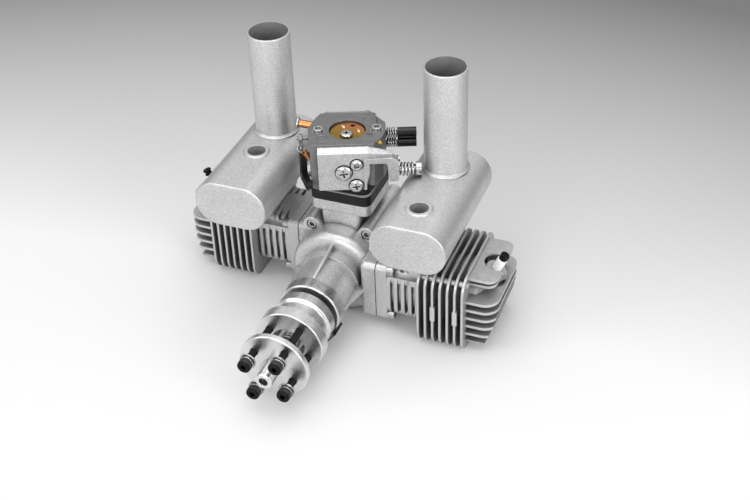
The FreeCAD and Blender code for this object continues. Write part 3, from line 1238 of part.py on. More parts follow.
def bolt_washers():
    """Split washer and flat washer behind each bolt head."""
    hole = PROP_BOLT_R + SCREW_GAP
    split = turned_z([(-1.1, hole), (-1.1, PROP_HEAD_R - 0.1), (0, PROP_HEAD_R - 0.1), (0, hole)])
    flat = turned_z([(-1.9, hole), (-1.9, PROP_HEAD_R + 0.8), (-1.1, PROP_HEAD_R + 0.8), (-1.1, hole)])
    return [aimed(ring, (x, PROP_HEAD_Y, z), (0, -1, 0))
            for x, z in prop_bolt_points() for ring in (split, flat)]


def timing_pickup():
    """Black pickup for the ignition, on the side of the nose ring and over the hub collar."""
    inner_r = NOSE_RING_R + RUNNING
    outer_r = NOSE_RING_R + PICKUP_RISE
    half = PICKUP_WIDTH / 2
    side_view = [(PICKUP_REAR_Y, inner_r - 1), (PICKUP_REAR_Y, outer_r),
                 (PICKUP_FRONT_Y + PICKUP_SLOPE, outer_r), (PICKUP_FRONT_Y, inner_r + 0.3),
                 (PICKUP_FRONT_Y, inner_r - 1)]
    corners = [V(-half, y, r) for y, r in side_view]
    bar = Part.Face(Part.makePolygon(corners + corners[:1])).extrude(V(PICKUP_WIDTH, 0, 0))
    bar.rotate(V(0, 0, 0), V(0, 1, 0), 90 - PICKUP_ANGLE)
    return bar.cut(y_cylinder(inner_r, PICKUP_FRONT_Y - 1, PICKUP_REAR_Y + 1))


def piston():
    """Piston about its cylinder axis, half way along its stroke."""
    outer = BORE_R - SLIDING
    crown = PISTON_PIN_X + CROWN_HEIGHT
    skirt = PISTON_PIN_X - SKIRT
    groove_r = BORE_R - RING_DEPTH - 0.25
    points = [(skirt, outer - PISTON_WALL), (skirt, outer)]
    for depth in sorted(RING_FROM_CROWN, reverse=True):
        low = crown - depth - RING_WIDTH - RUNNING
        high = crown - depth + RUNNING
        points += [(low, outer), (low, groove_r), (high, groove_r), (high, outer)]
    points += [(crown, outer), (crown + 0.8, 0.5 * outer), (crown + 0.8, 0),
               (crown - CROWN_THICK, 0), (crown - CROWN_THICK, outer - PISTON_WALL - 1)]
    body = turned_x(points)
    room = x_cylinder(outer - PISTON_WALL, skirt, crown - CROWN_THICK)
    bosses = y_cylinder(WRIST_BOSS_R, -outer, outer, PISTON_PIN_X, 0).common(room)
    bosses = bosses.cut(block(skirt, crown, -5.2, 5.2, -20, 20))
    body = body.fuse(bosses)
    return body.cut(y_cylinder(WRIST_R + RUNNING / 2, -20, 20, PISTON_PIN_X, 0))


def piston_rings():
    """Two split piston rings in their grooves."""
    crown = PISTON_PIN_X + CROWN_HEIGHT
    rings = []
    for depth in RING_FROM_CROWN:
        low = crown - depth - RING_WIDTH
        high = crown - depth
        ring = turned_x([(low, BORE_R - RING_DEPTH), (low, BORE_R - 0.03), (high, BORE_R - 0.03),
                         (high, BORE_R - RING_DEPTH)])
        rings.append(ring.cut(block(low - 1, high + 1, 0, 20, -0.2, 0.2)))
    return rings


def wrist_pin():
    """Hollow wrist pin across the piston."""
    tube = y_cylinder(WRIST_R, -WRIST_HALF, WRIST_HALF, PISTON_PIN_X, 0)
    return tube.cut(y_cylinder(WRIST_R - WRIST_WALL, -20, 20, PISTON_PIN_X, 0))


def export(name, *solids):
    """Write one node, a single solid or a group of separate ones."""
    shape = solids[0] if len(solids) == 1 else Part.makeCompound(list(solids))
    for solid in solids:
        if not solid.isValid() or len(solid.Solids) != 1:
            print("check", name, solid.isValid(), len(solid.Solids))
    shape.exportStep("parts/" + name + ".step")


def build_case():
    """Crankcase, bearings, seal, screws and the reed valve."""
    front, rear = crankcase_halves()
    export("crankcase_front", front)
    export("crankcase_rear", rear)
    outer_rings, inner_rings = bearings()
    export("bearing_outer_rings", *outer_rings)
    export("bearing_inner_rings", *inner_rings)
    export("shaft_seal", shaft_seal())
    export("case_screws", *case_screws())
    export("reed_cage", reed_cage())
    export("reed_petals", *reed_petals())
    export("intake_gasket", intake_layer(TOWER_TOP_Z, TOWER_TOP_Z + GASKET))
    export("insulator_block", intake_layer(TOWER_TOP_Z + GASKET, INSULATOR_TOP_Z))
    export("insulator_gasket", intake_layer(INSULATOR_TOP_Z, INSULATOR_TOP_Z + GASKET))
    export("carb_spacer", intake_layer(INSULATOR_TOP_Z + GASKET, SPACER_TOP_Z, SPACER_INSET))
    export("carb_gasket", intake_layer(SPACER_TOP_Z, CARB_BOTTOM_Z, SPACER_INSET + 0.5))


def build_cylinders():
    """Cylinders, pistons, plugs and silencers."""
    barrel = cylinder()
    for side in ("right", "left"):
        export("cylinder_" + side, to_side(barrel, side))
        export("silencer_" + side, silencer(side))
        export("stack_" + side, stack(side))
        export("piston_" + side, to_side(piston(), side))
        export("piston_rings_" + side, *[to_side(ring, side) for ring in piston_rings()])
        export("wrist_pin_" + side, to_side(wrist_pin(), side))
    export("base_gaskets", *both_sides(base_gasket()))
    export("base_screws", *[s for screw in base_screws() for s in both_sides(screw)])
    export("plug_washers", *both_sides(on_plug_axis(plug_washer())))
    export("plug_shells", *both_sides(on_plug_axis(plug_shell())))
    export("plug_ceramics", *both_sides(on_plug_axis(plug_ceramic())))
    export("plug_terminals", *both_sides(on_plug_axis(plug_terminal())))
    export("exhaust_gaskets", *both_sides(exhaust_gasket()))
    export("exhaust_screws", *[s for screw in exhaust_screws() for s in both_sides(screw)])


def build_carburettor():
    """Carburettor with its covers, butterflies, needles and idle screw."""
    export("carb_body", on_carb(carb_body()))
    export("pump_cover", on_carb(pump_cover()))
    export("metering_cover", on_carb(metering_cover()))
    export("carb_screws", *carb_screws())
    export("cover_screws", *cover_screws())
    choke_reach = math.sqrt(MOUTH_R ** 2 - CHOKE_V ** 2) - 0.2
    export("choke_shaft", on_carb(butterfly_shaft(CHOKE_SHAFT_R, CHOKE_Z, CHOKE_RIGHT_U, CHOKE_V,
                                                  CHOKE_Z, choke_reach)))
    export("choke_plate", on_carb(choke_plate()))
    export("choke_plate_screw", on_carb(plate_screw()))
    export("choke_lever", on_carb(lever(CHOKE_SHAFT_R, CHOKE_LEVER_U, 1.8, CHOKE_V, CHOKE_Z, 5.0, 0, 2.0)))
    export("throttle_shaft", on_shaft(butterfly_shaft(THROTTLE_SHAFT_R, THROTTLE_Z, 24.8, 0,
                                                      THROTTLE_Z, THROTTLE_BORE_R - 0.2)))
    export("throttle_plate", on_shaft(throttle_plate()))
    export("throttle_lever", on_shaft(throttle_lever()))
    export("throttle_arm", on_shaft(lever(THROTTLE_SHAFT_R, 22.8, 1.6, 0, THROTTLE_Z, 14.8, -121, 1.8)))
    export("high_needle", on_carb(needle(HIGH_NEEDLE_Z)))
    export("low_needle", on_carb(needle(LOW_NEEDLE_Z)))
    export("needle_springs", *needle_springs())
    export("idle_screw", on_carb(idle_screw()))
    export("idle_spring", on_carb(idle_spring()))
    export("fuel_nipple", on_carb(fuel_nipple()))


def build_drive():
    """Crankshaft and everything in front of the case that turns with it."""
    export("crankshaft", crankshaft())
    export("drive_hub", drive_hub())
    export("hub_nut", *hub_nut())
    export("spinner_stub", spinner_stub())
    export("drive_washer", drive_washer())
    export("prop_bolts", *prop_bolts())
    export("bolt_washers", *bolt_washers())
    export("timing_pickup", timing_pickup())


os.makedirs("parts", exist_ok=True)
build_case()
build_cylinders()
build_carburettor()
build_drive()
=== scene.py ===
import logging
import math
from dataclasses import dataclass, field
from enum import Enum
from typing import Dict, List, Optional, Sequence, Tuple, Union

import bmesh
import bpy
from mathutils import Matrix, Vector


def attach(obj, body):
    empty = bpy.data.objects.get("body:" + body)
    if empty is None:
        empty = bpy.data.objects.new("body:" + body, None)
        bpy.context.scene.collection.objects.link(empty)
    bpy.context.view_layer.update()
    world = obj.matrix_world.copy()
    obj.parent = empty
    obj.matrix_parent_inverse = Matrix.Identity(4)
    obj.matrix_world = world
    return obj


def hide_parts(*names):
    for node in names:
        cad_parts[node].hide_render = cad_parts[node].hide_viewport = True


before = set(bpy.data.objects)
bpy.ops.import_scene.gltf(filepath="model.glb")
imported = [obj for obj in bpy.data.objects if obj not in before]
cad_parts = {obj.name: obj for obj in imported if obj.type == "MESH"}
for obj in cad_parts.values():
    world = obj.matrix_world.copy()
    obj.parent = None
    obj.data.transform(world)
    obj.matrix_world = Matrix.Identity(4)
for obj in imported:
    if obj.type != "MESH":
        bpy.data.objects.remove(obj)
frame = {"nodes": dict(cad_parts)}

logging.basicConfig(level=logging.INFO, format="%(message)s")
LOG = logging.getLogger("engine")

MM = 0.001
WHITE = (1.0, 1.0, 1.0, 1.0)
BLACK = (0.0, 0.0, 0.0, 1.0)
CRISP_ANGLE = math.radians(35)
Point = Tuple[float, float, float]
Colour = Tuple[float, float, float, float]
Socket = bpy.types.NodeSocket
Value = Union[float, Socket]
Tint = Union[Colour, Socket]


def mm(*values: float) -> Vector:
    """A point or a length given in millimetres.

    Args:
        values: three numbers in millimetres.
    Returns:
        The same vector in metres.
    """
    return Vector(values) * MM


def linear(hex_colour: str, share: float = 1.0) -> Colour:
    """Turns an sRGB hex colour into the linear colour that a shader takes.

    Args:
        hex_colour: six hex digits, such as "b4b4b2".
        share: multiplies the linear colour, up to white.
    Returns:
        Linear red, green, blue and an alpha of 1.
    """
    channels = [int(hex_colour[i:i + 2], 16) / 255 for i in (0, 2, 4)]
    straight = [c / 12.92 if c <= 0.04045 else ((c + 0.055) / 1.055) ** 2.4 for c in channels]
    return (*(min(1.0, c * share) for c in straight), 1.0)


class Along(Enum):
    """Directions in the engine's own frame."""

    FRONT = (0.0, -1.0, 0.0)
    UP = (0.0, 0.0, 1.0)

    @property
    def vector(self) -> Vector:
        """The direction as a vector."""
        return Vector(self.value)


class Graph:
    """The node tree of a material or of the world, built a node at a time."""

    def __init__(self, owner: Union[bpy.types.Material, bpy.types.World]) -> None:
        owner.use_nodes = True
        self.tree = owner.node_tree
        self.tree.nodes.clear()

    def add(self, kind: str, inputs: Optional[dict] = None, out: Union[int, str] = 0,
            **settings: object) -> Socket:
        """Adds a node.

        Args:
            kind: the node's type name without the "ShaderNode" at its start.
            inputs: socket name or index to a constant or to another node's output.
            out: name or index of the output that is wanted.
            settings: properties of the node itself.
        Returns:
            The wanted output socket, or None for an output node.
        """
        node = self.tree.nodes.new("ShaderNode" + kind)
        for name, value in settings.items():
            setattr(node, name, value)
        for socket, value in (inputs or {}).items():
            if isinstance(value, bpy.types.NodeSocket):
                self.tree.links.new(value, node.inputs[socket])
            else:
                node.inputs[socket].default_value = value
        return node.outputs[out] if len(node.outputs) else None

    def math(self, operation: str, a: Value, b: Value = 0.0) -> Socket:
        """The result of one operation on two numbers."""
        return self.add("Math", {0: a, 1: b}, operation=operation)

    def mix(self, factor: Value, a: Tint, b: Tint) -> Socket:
        """A colour between a, at factor 0, and b, at factor 1."""
        return self.add("Mix", {0: factor, 6: a, 7: b}, out=2, data_type="RGBA")

    def spread(self, value: Value, low: float, high: float, to_low: float = 0.0,
               to_high: float = 1.0) -> Socket:
        """Maps a range of one value onto another range, clamped."""
        return self.add("MapRange", {0: value, 1: low, 2: high, 3: to_low, 4: to_high})

    def place(self) -> Socket:
        """Object coordinates in millimetres, so that patterns keep their real size."""
        return self.add("VectorMath", {0: self.add("TexCoord", out="Object"), 3: 1 / MM},
                        operation="SCALE")

    def part(self, vector: Socket, axis: str) -> Socket:
        """One coordinate of a vector."""
        return self.add("SeparateXYZ", {0: vector}, out=axis)

    def reach(self, x: Socket, y: Socket) -> Socket:
        """The distance from an axis, by the two coordinates across it."""
        squares = (self.math("MULTIPLY", x, x), self.math("MULTIPLY", y, y))
        return self.math("SQRT", self.math("ADD", *squares))

    def noise(self, place: Socket, size_mm: float, detail: float, rough: float) -> Socket:
        """Noise from 0 to 1 whose lumps are about size_mm across."""
        return self.add("TexNoise", {"Vector": place, "Scale": 1 / size_mm, "Detail": detail,
                                     "Roughness": rough})

    def rings(self, track: Socket, size_mm: float) -> Socket:
        """Noise along one track only, as a lathe tool leaves it."""
        return self.add("TexNoise", {"W": track, "Scale": 1 / size_mm, "Detail": 3.0,
                                     "Roughness": 0.7}, noise_dimensions="1D")

    def edge(self, radius_mm: float) -> Tuple[Socket, Socket]:
        """Rounded normal near an edge, and a mask that is 1 on the edge itself."""
        soft = self.add("Bevel", {"Radius": radius_mm * MM}, samples=6)
        true = self.add("NewGeometry", out="True Normal")
        alike = self.add("VectorMath", {0: soft, 1: true}, out="Value", operation="DOT_PRODUCT")
        return soft, self.spread(alike, 0.995, 0.90)

    def painted_crevice_shade(self, colour: Socket, reach_mm: float, share: float) -> Socket:
        """Painted shade: darkens a colour in seams and recesses, where shade falls."""
        clear = self.add("AmbientOcclusion", {"Distance": reach_mm * MM}, out="AO", samples=6)
        return self.mix(self.spread(clear, 0.25, 0.8), self.mix(share, colour, BLACK), colour)

    def bump(self, height: Socket, depth_mm: float, strength: float, normal: Socket) -> Socket:
        """A normal that follows a height, depth_mm deep."""
        return self.add("Bump", {"Strength": strength, "Distance": depth_mm * MM,
                                 "Height": height, "Normal": normal})

    def surface(self, colour: Tint, metallic: float, rough: Value, normal: Socket,
                **extra: float) -> Socket:
        """The surface shader. Extra sockets are named with _ for a space."""
        named = {key.replace("_", " "): value for key, value in extra.items()}
        return self.add("BsdfPrincipled", {"Base Color": colour, "Metallic": metallic,
                                           "Roughness": rough, "Normal": normal, **named})


@dataclass(frozen=True)
class Finish:
    """One real finish. Subclasses say how it was made.

    Attributes:
        name: the material's name.
    """

    name: str

    def shade(self, g: Graph) -> Socket:
        """Adds this finish's nodes to a graph and returns its shader."""
        raise NotImplementedError

    def build(self) -> bpy.types.Material:
        """Makes the Blender material."""
        material = bpy.data.materials.new(self.name)
        g = Graph(material)
        g.add("OutputMaterial", {"Surface": self.shade(g)})
        return material


@dataclass(frozen=True)
class Skin(Finish):
    """A finish of one main colour. Lengths are in millimetres, shares from 0 to 1.

    Attributes:
        colour: sRGB hex colour of the clean surface.
        roughness: how dull it is, 0 to 1.
    """

    colour: str
    roughness: float


@dataclass(frozen=True)
class BlastedMetal(Skin):
    """Aluminium blasted with fine beads: a satin skin of close light and dark speckle, faint
    cloudy patches, a painted highlight on the edges, and painted shade in seams and recesses.
    The beads leave pits finer than the render can show, so the grain is drawn coarser."""

    metallic: float = 0.75
    grain_mm: float = 0.5
    grain_height_mm: float = 0.05
    grain_share: float = 0.3
    patch_mm: float = 9.0
    patch_share: float = 0.08
    edge_mm: float = 0.35
    edge_highlight_share: float = 0.5
    crevice_shade_mm: float = 4.5
    crevice_shade_share: float = 0.7

    def shade(self, g: Graph) -> Socket:
        """Adds the speckled skin, its clouds, the painted edge highlight and the painted shade in
        seams.
        """
        place = g.place()
        soft, on_edge = g.edge(self.edge_mm)
        grain = g.noise(place, self.grain_mm, 4.0, 0.75)
        patches = g.spread(g.noise(place, self.patch_mm, 3.0, 0.55), 0.3, 0.7)
        dull = linear(self.colour, 1 - 2 * self.patch_share)
        colour = g.mix(patches, dull, linear(self.colour))
        pits = g.spread(grain, 0.5, 0.34, 0.0, self.grain_share)
        colour = g.mix(pits, colour, linear(self.colour, 0.35))
        glints = g.spread(grain, 0.55, 0.68, 0.0, self.grain_share)
        colour = g.mix(glints, colour, linear(self.colour, 1.9))
        # Painted highlight: the edges are coloured brighter.
        colour = g.mix(g.math("MULTIPLY", on_edge, self.edge_highlight_share), colour,
                       linear(self.colour, 1.6))
        # Painted shade: darker in seams and recesses.
        colour = g.painted_crevice_shade(colour, self.crevice_shade_mm, self.crevice_shade_share)
        rough = g.math("SUBTRACT", g.spread(patches, 0.0, 1.0, self.roughness + 0.05,
                                            self.roughness - 0.05),
                       g.math("MULTIPLY", on_edge, 0.1))
        return g.surface(colour, self.metallic, rough,
                         g.bump(grain, self.grain_height_mm, 0.7, soft))


@dataclass(frozen=True)
class CastFins(Skin):
    """Cast cylinder: grainy grey, with painted shade that makes it dark deep between the fins and
    lighter on the open faces, and a thin painted highlight along each rounded rim. A rim is
    where the rounded edge looks away from its fin's own plane."""

    rim_highlight_colour: str = "cdcdcd"
    gap_shade_share: float = 0.22
    rim_highlight_share: float = 0.8
    edge_mm: float = 0.5
    grain_mm: float = 0.6
    patch_mm: float = 6.0
    gap_shade_mm: float = 7.0
    head_from_mm: float = 79.0

    def shade(self, g: Graph) -> Socket:
        """Adds the grain, the painted shade in the gaps and the painted highlight on the rims."""
        place = g.place()
        soft, _ = g.edge(self.edge_mm)
        grain = g.noise(place, self.grain_mm, 4.0, 0.75)
        patches = g.spread(g.noise(place, self.patch_mm, 3.0, 0.6), 0.3, 0.7)
        sideways = g.math("ABSOLUTE", g.part(soft, "X"))
        upright = g.math("ABSOLUTE", g.part(soft, "Z"))
        out = g.math("ABSOLUTE", g.part(place, "X"))
        in_head = g.spread(out, self.head_from_mm - 0.2, self.head_from_mm + 0.2)
        flat = g.add("Mix", {0: in_head, 2: sideways, 3: upright})
        rim = g.spread(flat, 0.4, 0.1)
        # Painted shade: darker deep between the fins, where less light reaches.
        open_share = g.add("AmbientOcclusion", {"Distance": self.gap_shade_mm * MM}, out="AO",
                           samples=8)
        colour = g.mix(patches, linear(self.colour, 0.8), linear(self.colour))
        colour = g.mix(g.spread(open_share, 0.15, 0.75), linear(self.colour, self.gap_shade_share),
                       colour)
        # Painted highlight: a bright line along each rim.
        colour = g.mix(g.math("MULTIPLY", rim, self.rim_highlight_share), colour, linear(self.rim_highlight_colour))
        colour = g.mix(g.spread(grain, 0.5, 0.34, 0.0, 0.4), colour, linear(self.colour, 0.3))
        colour = g.mix(g.spread(grain, 0.55, 0.68, 0.0, 0.3), colour,
                       linear(self.rim_highlight_colour, 1.3))
        rough = g.math("SUBTRACT", self.roughness, g.math("MULTIPLY", rim, 0.15))
        return g.surface(colour, 0.6, rough, g.bump(grain, 0.06, 0.7, soft))


@dataclass(frozen=True)
class TurnedMetal(Skin):
    """Metal turned on a lathe about the crank axis: fine tool rings that stretch the
    highlights, faint polish marks, and crisp edges with a painted white highlight. The real
    feed of about 0.1 mm is drawn coarser, so that it shows."""

    ring_mm: float = 0.35
    ring_height_mm: float = 0.008
    smear_mm: float = 5.0
    edge_mm: float = 0.4
    edge_highlight_share: float = 0.85

    def shade(self, g: Graph) -> Socket:
        """Adds the tool rings, the polish and the painted edge highlight."""
        place = g.place()
        soft, on_edge = g.edge(self.edge_mm)
        x, z = g.part(place, "X"), g.part(place, "Z")
        rings = g.rings(g.math("ADD", g.reach(x, z), g.part(place, "Y")), self.ring_mm)
        smear = g.noise(place, self.smear_mm, 2.0, 0.5)
        colour = g.mix(g.spread(rings, 0.35, 0.65), linear(self.colour, 0.78),
                       linear(self.colour))
        # Painted highlight: the edges are mixed towards white.
        colour = g.mix(g.math("MULTIPLY", on_edge, self.edge_highlight_share), colour, WHITE)
        rough = g.spread(smear, 0.3, 0.7, self.roughness - 0.04, self.roughness + 0.05)
        rough = g.math("ADD", rough, g.spread(rings, 0.4, 0.7, 0.0, 0.05))
        return g.surface(colour, 1.0, rough, g.bump(rings, self.ring_height_mm, 0.5, soft))


@dataclass(frozen=True)
class PlatedMetal(Skin):
    """Plated, blacked or drawn metal of small hardware: nearly even, with faint clouding, edges
    worn towards the bare metal and brightened as a painted highlight, and painted shade in seams."""

    metallic: float = 1.0
    wear_and_highlight: float = 0.35
    wear_and_highlight_colour: str = "ffffff"
    edge_mm: float = 0.18
    grain_mm: float = 0.5
    crevice_shade_mm: float = 2.2
    crevice_shade_share: float = 0.95
    specular: float = 0.5

    def shade(self, g: Graph) -> Socket:
        """Adds the clouding, the worn edges with their painted highlight, and the painted shade.
        """
        place = g.place()
        soft, on_edge = g.edge(self.edge_mm)
        grain = g.noise(place, self.grain_mm, 3.0, 0.6)
        share = g.spread(grain, 0.35, 0.65)
        colour = g.mix(share, linear(self.colour, 0.8), linear(self.colour))
        # Worn edges: partly real wear and partly a painted highlight.
        colour = g.mix(g.math("MULTIPLY", on_edge, self.wear_and_highlight), colour, linear(self.wear_and_highlight_colour))
        # Painted shade: darker in seams and recesses.
        colour = g.painted_crevice_shade(colour, self.crevice_shade_mm, self.crevice_shade_share)
        rough = g.spread(share, 0.0, 1.0, self.roughness + 0.06, self.roughness - 0.04)
        return g.surface(colour, self.metallic, rough, g.bump(grain, 0.01, 0.25, soft),
                         Specular_IOR_Level=self.specular)


@dataclass(frozen=True)
class Moulded(Skin):
    """Moulded plastic, rubber or pressed fibre, or glazed ceramic: no metal, a soft skin
    texture and a faint painted highlight on the edges."""

    grain_mm: float = 0.3
    grain_height_mm: float = 0.01
    patch_mm: float = 4.0
    edge_mm: float = 0.25
    edge_highlight_colour: str = "ffffff"
    edge_highlight_share: float = 0.05
    coat: float = 0.0
    specular: float = 0.5

    def shade(self, g: Graph) -> Socket:
        """Adds the skin texture, its faint clouds and the painted edge highlight."""
        place = g.place()
        soft, on_edge = g.edge(self.edge_mm)
        grain = g.noise(place, self.grain_mm, 3.0, 0.6)
        patches = g.spread(g.noise(place, self.patch_mm, 2.0, 0.5), 0.3, 0.7)
        colour = g.mix(patches, linear(self.colour, 0.86), linear(self.colour))
        # Painted highlight: the edges are coloured brighter.
        colour = g.mix(g.math("MULTIPLY", on_edge, self.edge_highlight_share), colour,
                       linear(self.edge_highlight_colour))
        rough = g.spread(grain, 0.35, 0.65, self.roughness + 0.05, self.roughness - 0.05)
        return g.surface(colour, 0.0, rough, g.bump(grain, self.grain_height_mm, 0.4, soft),
                         Coat_Weight=self.coat, Specular_IOR_Level=self.specular)


@dataclass(frozen=True)
class TintedBrass(Skin):
    """Brass sheet that fuel and warmth have tinted: olive in one place, copper orange in
    another, with painted shade at the rim and in seams and a painted highlight on the edges."""

    warm_colour: str = "d08a58"
    warm_from_mm: float = -34.0
    warm_to_mm: float = -22.0
    patch_mm: float = 9.0
    grain_mm: float = 0.5
    edge_mm: float = 0.2
    edge_highlight_share: float = 0.4
    edge_highlight_colour: str = "ffe0b0"
    crevice_shade_mm: float = 2.0
    crevice_shade_share: float = 0.9

    def shade(self, g: Graph) -> Socket:
        """Adds the drifting tint, fine scratches, the painted edge highlight and the painted
        shade.
        """
        place = g.place()
        soft, on_edge = g.edge(self.edge_mm)
        drift = g.noise(place, self.patch_mm, 1.5, 0.5)
        away = g.spread(g.part(place, "Y"), self.warm_from_mm, self.warm_to_mm)
        tint = g.spread(g.math("ADD", drift, away), 0.75, 1.5)
        grain = g.noise(place, self.grain_mm, 3.0, 0.6)
        colour = g.mix(tint, linear(self.colour), linear(self.warm_colour))
        colour = g.mix(g.spread(grain, 0.35, 0.65, 0.0, 0.35), colour, linear(self.colour, 0.5))
        # Painted highlight: the edges are coloured brighter.
        colour = g.mix(g.math("MULTIPLY", on_edge, self.edge_highlight_share), colour,
                       linear(self.edge_highlight_colour))
        # Painted shade: darker at the rim and in seams.
        colour = g.painted_crevice_shade(colour, self.crevice_shade_mm, self.crevice_shade_share)
        return g.surface(colour, 1.0, self.roughness, g.bump(grain, 0.02, 0.4, soft))


class Zone:
    """A part of a piece that has a finish of its own."""

    def mask(self, g: Graph) -> Socket:
        """1 inside the zone and 0 outside it."""
        raise NotImplementedError


@dataclass(frozen=True)
class AheadOf(Zone):
    """What lies in front of a plane across the crank axis."""

    y_mm: float

    def mask(self, g: Graph) -> Socket:
        """1 in front of the plane and 0 behind it."""
        return g.spread(g.part(g.place(), "Y"), self.y_mm + 0.02, self.y_mm - 0.02)


@dataclass(frozen=True)
class InsidePipe(Zone):
    """The inner wall of an upright pipe."""

    x_mm: float
    y_mm: float
    radius_mm: float

    def mask(self, g: Graph) -> Socket:
        """1 within the radius and 0 outside it."""
        place = g.place()
        x = g.math("SUBTRACT", g.part(place, "X"), self.x_mm)
        y = g.math("SUBTRACT", g.part(place, "Y"), self.y_mm)
        return g.spread(g.reach(x, y), self.radius_mm + 0.1, self.radius_mm)


@dataclass(frozen=True)
class TwoFinishes(Finish):
    """One piece with two finishes, parted where a zone says.

    Attributes:
        most: the finish outside the zone.
        zone: where the other finish lies.
        there: the finish inside the zone.
    """

    most: Finish
    zone: Zone
    there: Finish

    def shade(self, g: Graph) -> Socket:
        """Adds both finishes and the mask between them."""
        return g.add("MixShader", {0: self.zone.mask(g), 1: self.most.shade(g),
                                   2: self.there.shade(g)})


CASE_SKIN = BlastedMetal("Aluminium die casting, bead blasted", "d2d2d2", 0.4,
                         grain_mm=0.65, grain_share=0.6, edge_highlight_share=0.7)
PIPE_SKIN = BlastedMetal("Aluminium sheet, welded and bead blasted", "cecece", 0.42,
                         grain_mm=0.7, grain_share=0.45, grain_height_mm=0.07,
                         patch_mm=14.0, patch_share=0.05)
BRIGHT_RING = TurnedMetal("Aluminium casting, turned", "dcdcdd", 0.28)
SOOT = Moulded("Soot film inside a pipe", "7c7c7c", 0.85, grain_mm=0.9, grain_height_mm=0.08)


class Palette:
    """Every finish on the engine, built once each."""

    FINISHES: Dict[str, Finish] = {
        "case": CASE_SKIN,
        "nose": TwoFinishes("Aluminium die casting with a turned nose ring", CASE_SKIN,
                            AheadOf(y_mm=-83.2), BRIGHT_RING),
        # The fins carry painted shade between them and a painted highlight on their rims.
        "fins": CastFins("Aluminium casting, fin rims skimmed", "bababa", 0.5),
        "silencer": PIPE_SKIN,
        "pipe_right": TwoFinishes("Aluminium tail pipe, right", PIPE_SKIN,
                                  InsidePipe(51.05, -17.5, 10.7), SOOT),
        "pipe_left": TwoFinishes("Aluminium tail pipe, left", PIPE_SKIN,
                                 InsidePipe(-51.05, -10.15, 10.7), SOOT),
        "turned": TurnedMetal("Aluminium bar, turned", "e8e8e9", 0.28),
        "shaft": TurnedMetal("Alloy steel, ground", "c8c8ca", 0.22),
        "screws": PlatedMetal("Steel, zinc plated", "c9cacc", 0.24),
        "black_steel": PlatedMetal("Steel, black oxide", "040405", 0.3, wear_and_highlight=0.04,
                                   metallic=0.0, specular=0.14),
        "bearing": PlatedMetal("Bearing steel, ground", "c0c0c2", 0.2),
        "rubber": Moulded("Nitrile rubber, moulded", "151515", 0.6),
        "gasket": Moulded("Gasket fibre, pressed", "23211f", 0.8, grain_mm=0.15),
        "light_gasket": Moulded("Gasket fibre, pale", "8d8d8a", 0.7, grain_mm=0.15),
        "insulator": Moulded("Phenolic resin, moulded", "0f0f10", 0.5, grain_mm=0.4,
                             specular=0.3),
        "carb": BlastedMetal("Zinc die casting, grey", "828283", 0.45, grain_mm=0.4,
                             grain_share=0.25, patch_mm=5.0),
        "cover": BlastedMetal("Aluminium die casting, as cast", "c6c6c7", 0.38, metallic=0.85,
                              grain_mm=0.7, grain_share=0.5, grain_height_mm=0.08,
                              patch_mm=4.0),
        "stamped": PlatedMetal("Sheet steel, stamped and plated", "b4b4b5", 0.3),
        "brass": PlatedMetal("Brass bar, turned", "d9b25e", 0.24, wear_and_highlight=0.4,
                             wear_and_highlight_colour="fff0c8"),
        "choke_brass": TintedBrass("Brass sheet, tinted by warmth", "a0823a", 0.34),
        # The ribs are coloured bright as a painted highlight.
        "choke_rib_highlight": PlatedMetal("Brass sheet, painted rib highlight", "f6c8a0", 0.42, wear_and_highlight=0.5),
        "dull_zinc": PlatedMetal("Steel sheet, dull zinc", "8a8b8d", 0.5),
        "copper": PlatedMetal("Copper-plated tube, drawn", "c8875a", 0.16, wear_and_highlight=0.4,
                              wear_and_highlight_colour="ffd0a0"),
        "black_plastic": Moulded("Acetal, moulded black", "060607", 0.18, coat=0.2, specular=0.35),
        "lever_black": Moulded("Glass-filled nylon, moulded black", "08080a", 0.5, specular=0.3),
        "ceramic": Moulded("Alumina ceramic, glazed", "fbfbf8", 0.3, coat=0.3, edge_highlight_share=0.0),
        "carbon": Moulded("Fibre laminate", "1b1b1c", 0.35),
    }

    def __init__(self) -> None:
        self._built: Dict[str, bpy.types.Material] = {}

    def get(self, key: str) -> bpy.types.Material:
        """The material of a finish, built the first time it is asked for."""
        if key not in self._built:
            self._built[key] = self.FINISHES[key].build()
        return self._built[key]


